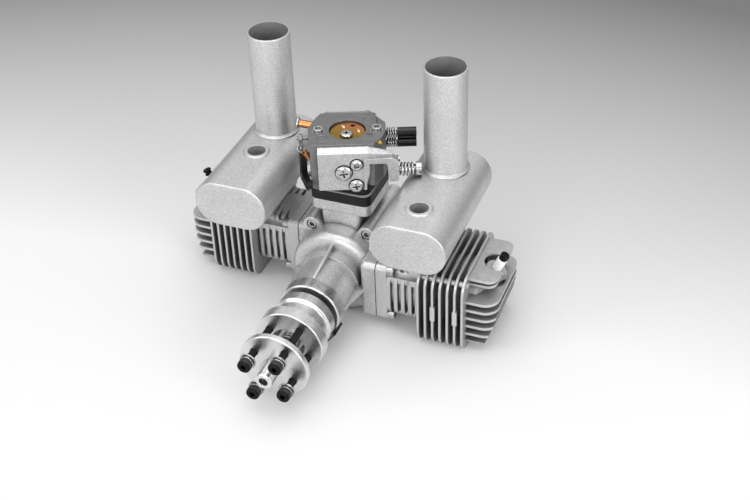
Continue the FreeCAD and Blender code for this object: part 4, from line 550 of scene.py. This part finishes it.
CAD_FINISH: Dict[str, str] = {
    "crankcase_front": "nose", "crankcase_rear": "case", "bearing_outer_rings": "bearing",
    "bearing_inner_rings": "bearing", "shaft_seal": "rubber", "case_screws": "screws",
    "reed_cage": "insulator", "reed_petals": "carbon", "intake_gasket": "gasket",
    "insulator_block": "insulator", "insulator_gasket": "light_gasket",
    "carb_spacer": "insulator", "carb_gasket": "gasket", "cylinder_right": "fins",
    "cylinder_left": "fins", "silencer_right": "silencer", "silencer_left": "silencer",
    "stack_right": "pipe_right", "stack_left": "pipe_left", "piston_right": "turned",
    "piston_left": "turned", "piston_rings_right": "shaft", "piston_rings_left": "shaft",
    "wrist_pin_right": "shaft", "wrist_pin_left": "shaft", "base_gaskets": "gasket",
    "base_screws": "screws", "plug_washers": "screws", "plug_shells": "screws",
    "plug_ceramics": "ceramic", "plug_terminals": "black_steel", "exhaust_gaskets": "gasket",
    "exhaust_screws": "black_steel", "carb_body": "carb", "pump_cover": "cover",
    "metering_cover": "stamped", "carb_screws": "screws", "cover_screws": "screws",
    "choke_shaft": "dull_zinc", "choke_plate": "choke_brass", "choke_plate_screw": "screws",
    "choke_lever": "dull_zinc", "throttle_shaft": "shaft", "throttle_plate": "brass",
    "throttle_lever": "lever_black", "throttle_arm": "screws",
    "high_needle": "black_plastic", "low_needle": "black_plastic",
    "needle_springs": "screws", "idle_screw": "screws", "idle_spring": "screws",
    "fuel_nipple": "copper", "crankshaft": "shaft", "drive_hub": "turned",
    "hub_nut": "screws", "spinner_stub": "turned", "drive_washer": "turned",
    "prop_bolts": "black_steel", "bolt_washers": "screws", "timing_pickup": "black_plastic",
}


class Shape:
    """A form in the making, in millimetres, along +Z from the origin."""

    def __init__(self) -> None:
        self.bm = bmesh.new()

    def merge(self) -> None:
        """Joins points that lie on each other."""
        bmesh.ops.remove_doubles(self.bm, verts=self.bm.verts[:], dist=0.0005)

    def lathe(self, profile: Sequence[Tuple[float, float]], steps: int = 48,
              ring: bool = False) -> "Shape":
        """Spins a profile about Z.

        Args:
            profile: points as (radius, height).
            steps: faces round the axis.
            ring: whether the profile closes on itself.
        Returns:
            The shape itself.
        """
        verts = [self.bm.verts.new((r, 0.0, z)) for r, z in profile]
        pairs = list(zip(verts, verts[1:])) + ([(verts[-1], verts[0])] if ring else [])
        edges = [self.bm.edges.new(pair) for pair in pairs]
        bmesh.ops.spin(self.bm, geom=verts + edges, cent=(0, 0, 0), axis=(0, 0, 1),
                       angle=math.tau, steps=steps, use_merge=True)
        self.merge()
        return self

    def coil(self, radius: float, wire: float, length: float, pitch: float,
             steps: int = 28) -> "Shape":
        """Winds a round wire from height 0 to length.

        Args:
            radius: of the coil at the wire's centre.
            wire: radius of the wire.
            length: of the spring, over its end coils.
            pitch: distance between coils.
            steps: faces in each turn.
        Returns:
            The shape itself.
        """
        made = bmesh.ops.create_circle(self.bm, cap_ends=True, radius=wire, segments=8,
                                       matrix=Matrix.Translation((radius, 0, wire))
                                       @ Matrix.Rotation(math.pi / 2, 4, "X"))
        turns = (length - 2 * wire) / pitch
        count = max(8, round(turns * steps))
        faces = list({face for vert in made["verts"] for face in vert.link_faces})
        bmesh.ops.spin(self.bm, geom=faces, cent=(0, 0, 0), axis=(0, 0, 1),
                       dvec=(0, 0, (length - 2 * wire) / count), angle=math.tau * turns,
                       steps=count)
        return self

    def thread(self, radius: float, pitch: float, low: float, high: float) -> "Shape":
        """Cuts a screw thread from one height to another.

        Args:
            radius: over the crests.
            pitch: distance between crests.
            low: height of the lower end.
            high: height of the upper end.
        Returns:
            The shape itself.
        """
        depth, steps = 0.35 * pitch, 20
        points = [(radius, low), (radius - depth, low + pitch / 2), (radius, low + pitch)]
        verts = [self.bm.verts.new((r, 0.0, z)) for r, z in points]
        edges = [self.bm.edges.new(pair) for pair in zip(verts, verts[1:])]
        turns = max(1, int((high - low) / pitch) - 1)
        bmesh.ops.spin(self.bm, geom=verts + edges, cent=(0, 0, 0), axis=(0, 0, 1),
                       dvec=(0, 0, pitch / steps), angle=math.tau * turns, steps=steps * turns)
        self.merge()
        return self

    def knurl(self, radius: float, depth: float) -> "Shape":
        """Presses every second column of points at a radius inwards."""
        band = [v for v in self.bm.verts if v.co.xy.length > radius - 0.01]
        columns = sorted({round(math.atan2(v.co.y, v.co.x), 4) for v in band})
        low = set(columns[::2])
        pressed = [v for v in band if round(math.atan2(v.co.y, v.co.x), 4) in low]
        share = 1 - depth / radius
        bmesh.ops.scale(self.bm, vec=(share, share, 1.0), verts=pressed)
        return self

    def recess(self, outline: Sequence[Tuple[float, float]], rim: float, height: float,
               depth: float, steps: int) -> "Shape":
        """Closes a round rim with a flat face that has a sunk recess in it.

        Args:
            outline: corners of the recess, as (x, y).
            rim: radius of the round rim.
            height: of the flat face.
            depth: of the recess.
            steps: faces round the rim.
        Returns:
            The shape itself.
        """
        made = bmesh.ops.create_circle(self.bm, radius=rim, segments=steps,
                                       matrix=Matrix.Translation((0, 0, height)))
        ring = list({edge for vert in made["verts"] for edge in vert.link_edges})
        verts = [self.bm.verts.new((x, y, height)) for x, y in outline]
        edges = [self.bm.edges.new(pair) for pair in zip(verts, verts[1:] + verts[:1])]
        bmesh.ops.triangle_fill(self.bm, use_beauty=True, edges=ring + edges)
        walls = bmesh.ops.extrude_edge_only(self.bm, edges=edges)["geom"]
        sunk = [item for item in walls if isinstance(item, bmesh.types.BMVert)]
        bmesh.ops.translate(self.bm, vec=(0, 0, -depth), verts=sunk)
        floor = [item for item in walls if isinstance(item, bmesh.types.BMEdge)]
        bmesh.ops.triangle_fill(self.bm, use_beauty=True, edges=floor)
        self.merge()
        return self

    def put(self, other: "Shape", at: Point, toward: Vector, roll: float = 0.0) -> "Shape":
        """Copies another shape into this one.

        Args:
            other: the shape, which is kept.
            at: where its origin goes.
            toward: where its +Z points.
            roll: its turn about its own axis, in radians.
        Returns:
            The shape itself.
        """
        turn = Vector((0, 0, 1)).rotation_difference(Vector(toward).normalized())
        copy = bpy.data.meshes.new("copy")
        other.bm.to_mesh(copy)
        copy.transform(Matrix.Translation(at) @ turn.to_matrix().to_4x4()
                       @ Matrix.Rotation(roll, 4, "Z"))
        self.bm.from_mesh(copy)
        bpy.data.meshes.remove(copy)
        return self

    def finished(self, name: str, material: bpy.types.Material) -> bpy.types.Object:
        """Turns the shape into an object at the origin, in metres.

        Args:
            name: of the piece.
            material: its finish.
        Returns:
            The new object.
        """
        bmesh.ops.recalc_face_normals(self.bm, faces=self.bm.faces[:])
        bmesh.ops.scale(self.bm, vec=(MM, MM, MM), verts=self.bm.verts[:])
        data = bpy.data.meshes.new(name)
        self.bm.to_mesh(data)
        self.bm.free()
        data.materials.append(material)
        data.shade_smooth()
        data.set_sharp_from_angle(angle=CRISP_ANGLE)
        piece = bpy.data.objects.new(name, data)
        bpy.context.scene.collection.objects.link(piece)
        LOG.info("piece %s: %d faces", name, len(data.polygons))
        return piece


def hexagon(across_flats: float) -> List[Tuple[float, float]]:
    """Corners of a hexagon socket."""
    reach = across_flats / math.sqrt(3)
    return [(reach * math.cos(math.radians(60 * k)), reach * math.sin(math.radians(60 * k)))
            for k in range(6)]


def cross(reach: float, half: float) -> List[Tuple[float, float]]:
    """Corners of a cross recess."""
    arm = [(reach, -half), (reach, half), (half, half)]
    turns = ((1, 0, 0, 1), (0, -1, 1, 0), (-1, 0, 0, -1), (0, 1, -1, 0))
    return [(a * x + b * y, c * x + d * y) for a, b, c, d in turns for x, y in arm]


class SubAssembly:
    """A group of pieces that belong together."""

    palette: Palette

    def dress(self, shape: Shape, name: str, finish: str, body: str, slot: str,
              replaces: Sequence[str] = ()) -> bpy.types.Object:
        """Finishes a piece and hangs it on a CAD body.

        Args:
            shape: the built form.
            name: of the piece.
            finish: key in the palette.
            body: the CAD body it rides on.
            slot: the record's material slot; not used.
            replaces: CAD nodes it stands for.
        Returns:
            The finished object.
        """
        piece = shape.finished(name, self.palette.get(finish))
        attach(piece, body)
        if replaces:
            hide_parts(*replaces)
        return piece


@dataclass
class SocketScrew:
    """A knurled socket head screw, its head above height 0 and its thread below.

    Attributes:
        shank: thread radius.
        length: of the thread.
        head: head radius.
        tall: height of the head.
        pitch: of the thread.
        socket: width of the hexagon across its flats.
        teeth: of the knurl.
    """

    shank: float
    length: float
    head: float
    tall: float
    pitch: float
    socket: float
    teeth: int = 30

    def shape(self) -> Shape:
        """Builds the screw: turned head, pressed knurl, sunk hexagon, cut thread."""
        steps = 2 * self.teeth
        r, h, s = self.head, self.tall, self.shank
        body = Shape().lathe([(s, 0.0), (r - 0.4, 0.0), (r - 0.1, 0.25), (r, 0.4), (r, h - 1.1),
                              (r - 0.14, h - 1.0), (r - 0.14, h - 0.35), (r - 0.5, h)], steps)
        body.knurl(r, 0.16)
        body.recess(hexagon(self.socket), r - 0.5, h, 0.55 * h, steps)
        body.lathe([(0.0, -self.length), (s * 0.72, -self.length), (s, -self.length + 0.5)], 20)
        body.thread(s, self.pitch, -self.length + 0.5, 0.0)
        return body


@dataclass
class PropDrive(SubAssembly):
    """Propeller screws with their washers, in the loose plate in front of the hub.

    Attributes:
        palette: the finishes.
        pcd: diameter of the circle that the screws stand on.
        phase: angle of the first screw, in degrees.
        head_y: rear face of the heads.
        split_y: rear face of the split washers.
        flat_y: rear face of the flat washers.
        screw_roll: radians from one screw's knurl to the next one's.
        split_roll: radians from one washer's split to the next one's.
        screw: the screw itself.
    """

    palette: Palette
    pcd: float = 24.5
    phase: float = 56.0
    head_y: float = -145.0
    split_y: float = -143.85
    flat_y: float = -143.1
    screw_roll: float = 0.35
    split_roll: float = 1.1
    screw: SocketScrew = field(default_factory=lambda: SocketScrew(2.0, 37.3, 3.6, 4.0, 0.8, 3.0))

    def centres(self) -> List[Tuple[float, float]]:
        """Screw places as (x, z)."""
        angles = [math.radians(self.phase + 90 * k) for k in range(4)]
        return [(self.pcd / 2 * math.cos(a), self.pcd / 2 * math.sin(a)) for a in angles]

    def build(self) -> None:
        """Builds knurled screws, split washers and flat washers."""
        screw = self.screw.shape()
        flat = Shape().lathe([(2.15, 0.0), (4.3, 0.0), (4.4, 0.1), (4.4, 0.7), (4.3, 0.8),
                              (2.15, 0.8)], 64, ring=True)
        split = Shape().coil(2.9, 0.5, 1.25, 0.25, 40)
        screws, washers, front = Shape(), Shape(), Along.FRONT.vector
        for k, (x, z) in enumerate(self.centres()):
            screws.put(screw, (x, self.head_y, z), front, self.screw_roll * k)
            washers.put(split, (x, self.split_y, z), front, self.split_roll * k)
            washers.put(flat, (x, self.flat_y, z), front)
        self.dress(screws, "prop_screws_knurled", "black_steel", "crank", "black_steel",
                   ["prop_bolts"])
        self.dress(washers, "prop_screw_washers", "screws", "crank", "screw_steel",
                   ["bolt_washers"])


@dataclass(frozen=True)
class CarbAxes:
    """The carburettor's own axes: u to the right, v to the back, turned about its bore."""

    x: float = -0.2
    y: float = -28.1
    turn: float = math.radians(21.9)

    def at(self, u: float, v: float, z: float) -> Point:
        """A point of the carburettor in the engine's frame."""
        c, s = math.cos(self.turn), math.sin(self.turn)
        return (self.x + u * c - v * s, self.y + u * s + v * c, z)

    def along(self, u: float, v: float, z: float = 0.0) -> Vector:
        """A direction of the carburettor in the engine's frame."""
        c, s = math.cos(self.turn), math.sin(self.turn)
        return Vector((u * c - v * s, u * s + v * c, z))


@dataclass
class Carburettor(SubAssembly):
    """Springs, screw heads and small fittings of the carburettor.

    Places and directions are (u, v, z) in the carburettor's own axes, in millimetres.

    Attributes:
        palette: the finishes.
        axes: the carburettor's own axes.
        needle_heights: z of the two mixture needles.
        needle_v, needle_seat_u: where their springs begin.
        idle_at: where the idle screw's spring begins.
        cover_v: front face of the pump cover.
        meter_v: back face of the metering cover.
        meter_screw_u, meter_screw_z: of the screws in that cover.
        choke_top: z of the closed choke plate's upper face.
        choke_screw: u and v of the plate's screw.
        choke_ribs: u, v and turn, in radians, of the plate's ribs.
        rivet_at, rivet_toward: the rivet in the choke lever.
        body_top: z of the body's upper face.
        cast_rings: u and v of the cast rings on that face.
        plug_at, plug_toward: the brass plug.
        tube_at, tube_toward: the fuel tube's root.
        tube_ring: from that root to the ring on the tube.
        spring_at, spring_toward: the choke lever's spring.
    """

    palette: Palette
    axes: CarbAxes = field(default_factory=CarbAxes)
    needle_heights: Tuple[float, float] = (70.4, 64.2)
    needle_v: float = 5.0
    needle_seat_u: float = 20.3
    idle_at: Point = (26.6, -17.0, 61.2)
    cover_v: float = -19.0
    meter_v: float = 19.05
    meter_screw_u: Tuple[float, float] = (-10.8, 10.8)
    meter_screw_z: Tuple[float, float] = (53.0, 73.2)
    choke_top: float = 74.8
    choke_screw: Tuple[float, float] = (-0.5, -3.8)
    choke_ribs: Tuple[Point, Point] = ((-2.3, 5.2, -0.6), (5.9, 0.6, -0.9))
    rivet_at: Point = (-24.9, -5.4, 68.9)
    rivet_toward: Point = (0.2, -1.0, 0.4)
    body_top: float = 76.0
    cast_rings: Tuple[Tuple[float, float], ...] = ((11.3, 9.4), (-13.2, -8.0))
    plug_at: Point = (15.9, -9.6, 73.6)
    plug_toward: Point = (0.83, -0.56, 0.0)
    tube_at: Point = (-16.25, 14.35, 69.8)
    tube_toward: Point = (-0.975, 0.188, 0.122)
    tube_ring: float = 10.4
    spring_at: Point = (-23.2, -8.0, 68.6)
    spring_toward: Point = (0.45, 0.0, -0.9)

    def build(self) -> None:
        """Builds every small piece of the carburettor."""
        self.springs()
        self.cover_screws()
        self.choke_details()
        self.fittings()

    def set_in(self, shape: Shape, place: Sequence[float], toward: Sequence[float]) -> Shape:
        """A copy of a shape, placed and aimed in the carburettor's own axes."""
        return Shape().put(shape, self.axes.at(*place), self.axes.along(*toward))

    def springs(self) -> None:
        """Coil springs on the two needles and the idle screw."""
        right = self.axes.along(1, 0)
        coil = Shape().coil(2.45, 0.4, 6.2, 1.3)
        pair = Shape()
        for z in self.needle_heights:
            pair.put(coil, self.axes.at(self.needle_seat_u, self.needle_v, z), right)
        self.dress(pair, "needle_coil_springs", "screws", "engine", "screw_steel",
                   ["needle_springs"])
        idle = Shape().put(Shape().coil(3.2, 0.55, 9.0, 1.8), self.axes.at(*self.idle_at), right)
        self.dress(idle, "idle_coil_spring", "screws", "engine", "screw_steel", ["idle_spring"])

    def domed_head(self, radius: float, outline: List[Tuple[float, float]]) -> Shape:
        """A low domed screw head with a recess in it."""
        head = Shape().lathe([(0.0, -4.0), (radius * 0.5, -4.0), (radius * 0.5, 0.0),
                              (radius - 0.15, 0.0), (radius, 0.2), (radius, 0.75),
                              (radius * 0.9, 1.25), (radius * 0.72, 1.6), (radius * 0.66, 1.65)])
        return head.recess(outline, radius * 0.66, 1.65, 1.5, 48)

    def cover_screws(self) -> None:
        """Two cross-head screws and a socket screw in front, four small ones behind, and a dark
        ring round each front head as a painted shadow of its seat.
        """
        heads, shadow_rings = Shape(), Shape()
        front, back = self.axes.along(0, -1), self.axes.along(0, 1)
        in_front = ((-2.4, 61.1, 4.4, cross(2.3, 0.5)), (4.5, 65.9, 3.3, hexagon(2.9)),
                    (4.0, 53.0, 3.8, cross(2.0, 0.45)))
        for u, z, r, outline in in_front:
            heads.put(self.domed_head(r, outline), self.axes.at(u, self.cover_v, z), front, 0.5)
            # A thin dark ring round the head: a painted shadow where the head meets the cover.
            rim = Shape().lathe([(r - 0.3, -0.3), (r + 0.35, -0.3), (r + 0.45, 0.0),
                                 (r + 0.35, 0.25), (r - 0.3, 0.3)], ring=True)
            shadow_rings.put(rim, self.axes.at(u, self.cover_v, z), front)
        small = self.domed_head(2.4, cross(1.3, 0.3))
        for u in self.meter_screw_u:
            for z in self.meter_screw_z:
                heads.put(small, self.axes.at(u, self.meter_v, z), back, 0.3 * u)
        self.dress(heads, "cover_screw_heads", "screws", "engine", "screw_steel",
                   ["cover_screws"])
        # Painted shadow rings round the front heads.
        self.dress(shadow_rings, "cover_screw_shadow_rings", "black_steel", "engine", "black_steel")

    def choke_details(self) -> None:
        """Two pressed ribs in the choke plate with a painted highlight, its cross-head screw and
        the lever's rivet.
        """
        up = Along.UP.vector
        rib = Shape().lathe([(1.0, -0.1), (0.9, 0.15), (0.55, 0.38), (0.0, 0.45)], 32)
        bmesh.ops.scale(rib.bm, vec=(1.9, 1.0, 1.5), verts=rib.bm.verts[:])
        brass = Shape()
        for u, v, turn in self.choke_ribs:
            brass.put(rib, self.axes.at(u, v, self.choke_top), up, turn)
        # Painted highlight: the ribs' brass is coloured brighter.
        self.dress(brass, "choke_plate_ribs", "choke_rib_highlight", "choke", "brass")
        head = Shape().lathe([(2.0, -0.3), (3.1, 0.0), (3.3, 0.2), (3.3, 1.1), (3.1, 1.5),
                              (2.6, 1.8), (2.3, 1.85)])
        head.recess(cross(1.7, 0.42), 2.3, 1.85, 1.0, 48)
        place = self.axes.at(*self.choke_screw, self.choke_top)
        self.dress(Shape().put(head, place, up, 0.3), "choke_plate_cross_screw", "screws", "choke",
                   "screw_steel", ["choke_plate_screw"])
        rivet = Shape().lathe([(0.0, 0.9), (0.7, 0.8), (0.9, 0.1), (1.4, 0.1), (1.6, 0.9),
                               (2.1, 0.9), (2.3, 0.5), (2.3, -0.8), (0.0, -0.8)], 40)
        self.dress(self.set_in(rivet, self.rivet_at, self.rivet_toward), "choke_lever_rivet",
                   "screws", "choke", "screw_steel")

    def fittings(self) -> None:
        """Brass plug on the body's corner, cast rings on top of the body, plated ring on the
        fuel tube and copper spring of the choke lever."""
        cast = Shape().lathe([(2.5, -0.15), (2.7, 0.12), (3.0, 0.12), (3.2, -0.15)], 48, ring=True)
        marks = Shape()
        for u, v in self.cast_rings:
            marks.put(cast, self.axes.at(u, v, self.body_top), Along.UP.vector)
        self.dress(marks, "carb_cast_rings", "carb", "engine", "carb_cast")
        plug = Shape().lathe([(0.0, -1.0), (1.9, -1.0), (1.9, 0.5), (1.5, 1.2), (0.6, 2.6),
                              (0.0, 2.7)], 40)
        self.dress(self.set_in(plug, self.plug_at, self.plug_toward), "brass_body_plug", "brass",
                   "engine", "brass")
        ring = Shape().lathe([(2.15, 0.0), (2.9, 0.0), (3.3, 0.35), (3.3, 0.9), (2.9, 1.3),
                              (2.15, 1.3)], 48, ring=True)
        away = Vector(self.tube_toward).normalized()
        place = Vector(self.tube_at) + self.tube_ring * away
        self.dress(self.set_in(ring, place, away), "fuel_tube_ring", "screws", "engine",
                   "screw_steel")
        spring = Shape().coil(1.4, 0.34, 6.2, 0.85)
        self.dress(self.set_in(spring, self.spring_at, self.spring_toward), "choke_lever_spring",
                   "copper", "engine", "copper_plate")


class CadNodes:
    """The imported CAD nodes, given their finishes."""

    def __init__(self, palette: Palette, nodes: Dict[str, bpy.types.Object]) -> None:
        self.palette = palette
        self.nodes = nodes

    def build(self) -> None:
        """Assigns each node's material to every one of its slots."""
        for name, node in self.nodes.items():
            material = self.palette.get(CAD_FINISH[name])
            if not node.data.materials:
                node.data.materials.append(material)
            for slot in node.material_slots:
                slot.material = material
            LOG.info("CAD node %s: %s", name, material.name)


class Studio:
    """Floor, backdrop, lamps and the camera of the product photograph.

    Lengths are in metres, but in millimetres for the paper's shading and the camera's place.
    The camera's turns (azimuth, elevation and roll) are in degrees, and its focal length is
    in pixels of the photograph.
    """

    ROOM_LIGHT = 0.6
    ROOM_LOW = 0.32
    ROOM_HIGH = 1.0
    ROOM_TOP = 0.9
    FLOOR_Z = -23.3 * MM
    FLOOR_SIDE = 2.5
    FLOOR_FRONT = -1.2
    FLOOR_BACK = 1.0
    BEND_RADIUS = 0.6
    BEND_ANGLE = math.radians(80)
    PAPER_LIT_NEAR = "e0e0e0"
    PAPER_SHADED_FAR = "7c7c7c"
    PAPER_RANGE = (-30.0, 385.0)
    PAPER_BOW = 0.0006
    ENGINE_MIDDLE = (0.0, -0.04, 0.02)
    PHOTO_WIDTH = 750.0
    FOCAL_LENGTH = 1309.788
    SENSOR_MM = 36.0
    CAMERA_AT = (236.957, -572.110, 440.011)
    CAMERA_TURNS = (22.372, 36.824, -2.141)

    def build(self) -> None:
        """Builds the whole setting."""
        self.world()
        self.floor()
        self.lamps()
        self.camera()

    def world(self) -> None:
        """Grey room, brighter overhead: even weak light, and a darker room in reflections."""
        world = bpy.data.worlds.new("Studio")
        bpy.context.scene.world = world
        g = Graph(world)
        height = g.part(g.add("TexCoord", out="Generated"), "Z")
        strength = g.spread(height, 0.0, self.ROOM_TOP, self.ROOM_LOW, self.ROOM_HIGH)
        lit = g.add("Background", {"Color": WHITE, "Strength": self.ROOM_LIGHT})
        shown = g.add("Background", {"Color": WHITE, "Strength": strength})
        mirrored = g.add("LightPath", out="Is Glossy Ray")
        g.add("OutputWorld", {"Surface": g.add("MixShader", {0: mirrored, 1: lit, 2: shown})})

    def floor(self) -> None:
        """Pale paper sweep with painted light: white round the engine, grey painted shade at the
        back.
        """
        bm = bmesh.new()
        line = bm.edges.new([bm.verts.new((x, self.FLOOR_FRONT, self.FLOOR_Z))
                             for x in (-self.FLOOR_SIDE, self.FLOOR_SIDE)])
        flat = bmesh.ops.extrude_edge_only(bm, edges=[line])["geom"]
        back = [item for item in flat if isinstance(item, bmesh.types.BMVert)]
        bmesh.ops.translate(bm, vec=(0, self.FLOOR_BACK - self.FLOOR_FRONT, 0), verts=back)
        far = [item for item in flat if isinstance(item, bmesh.types.BMEdge)
               and all(v in back for v in item.verts)]
        centre = (0, self.FLOOR_BACK, self.FLOOR_Z + self.BEND_RADIUS)
        bmesh.ops.spin(bm, geom=far + back, cent=centre, axis=(1, 0, 0), angle=self.BEND_ANGLE,
                       steps=12)
        data = bpy.data.meshes.new("sweep")
        bm.to_mesh(data)
        bm.free()
        data.shade_smooth()
        sweep = bpy.data.objects.new("sweep", data)
        bpy.context.scene.collection.objects.link(sweep)
        paper = bpy.data.materials.new("Paper sweep")
        g = Graph(paper)
        place = g.place()
        x, y = g.part(place, "X"), g.part(place, "Y")
        bow = g.math("MULTIPLY", g.math("MULTIPLY", x, x), self.PAPER_BOW)
        # Painted light falloff: lit white near the engine, painted grey shade towards the back.
        away = g.spread(g.math("ADD", y, bow), *self.PAPER_RANGE)
        colour = g.mix(away, linear(self.PAPER_LIT_NEAR), linear(self.PAPER_SHADED_FAR))
        g.add("OutputMaterial", {"Surface": g.add("BsdfDiffuse", {"Color": colour})})
        data.materials.append(paper)

    def lamp(self, name: str, place: Point, aim: Point, size: float, watts: float) -> None:
        """Adds a square soft box.

        Args:
            name: of the lamp.
            place: where it stands, in metres.
            aim: the point it faces.
            size: its width and height in metres.
            watts: its power.
        """
        data = bpy.data.lights.new(name, "AREA")
        data.energy = watts
        data.shape = "SQUARE"
        data.size = size
        lamp = bpy.data.objects.new(name, data)
        lamp.location = place
        lamp.rotation_euler = (Vector(aim) - Vector(place)).to_track_quat("-Z", "Y").to_euler()
        bpy.context.scene.collection.objects.link(lamp)
        LOG.info("lamp %s: %.1f W", name, watts)

    def lamps(self) -> None:
        """A large soft box overhead and smaller ones on the left, in front and on the right."""
        self.lamp("top_box", (-0.1, -0.1, 1.3), (0, -0.03, 0), size=1.4, watts=9.0)
        self.lamp("left_box", (-0.85, -0.75, 0.6), self.ENGINE_MIDDLE, size=0.5, watts=2.2)
        self.lamp("front_box", (0.1, -1.15, 0.5), self.ENGINE_MIDDLE, size=0.6, watts=5.0)
        self.lamp("right_box", (0.95, -0.5, 0.4), self.ENGINE_MIDDLE, size=0.5, watts=4.5)

    def camera(self) -> None:
        """The photograph's own camera, fitted to the engine."""
        azimuth, elevation, roll = (math.radians(turn) for turn in self.CAMERA_TURNS)
        right = Vector((math.cos(azimuth), math.sin(azimuth), 0.0))
        ahead = Vector((-math.sin(azimuth) * math.cos(elevation),
                        math.cos(azimuth) * math.cos(elevation), -math.sin(elevation)))
        up = right.cross(ahead)
        rolled_right = math.cos(roll) * right + math.sin(roll) * up
        rolled_up = -math.sin(roll) * right + math.cos(roll) * up
        data = bpy.data.cameras.new("camera")
        data.sensor_fit = "HORIZONTAL"
        data.sensor_width = self.SENSOR_MM
        data.lens = self.SENSOR_MM * self.FOCAL_LENGTH / self.PHOTO_WIDTH
        data.clip_start = 0.01
        camera = bpy.data.objects.new("camera", data)
        pose = Matrix((rolled_right, rolled_up, -ahead)).transposed().to_4x4()
        pose.translation = mm(*self.CAMERA_AT)
        camera.matrix_world = pose
        bpy.context.scene.collection.objects.link(camera)
        bpy.context.scene.camera = camera


def main() -> None:
    """Builds the engine's looks in order, then the studio."""
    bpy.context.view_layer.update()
    bpy.context.scene.view_settings.view_transform = "Standard"
    palette = Palette()
    CadNodes(palette, frame["nodes"]).build()
    for part in (PropDrive(palette), Carburettor(palette)):
        part.build()
    Studio().build()


if __name__ == "__main__":
    main()
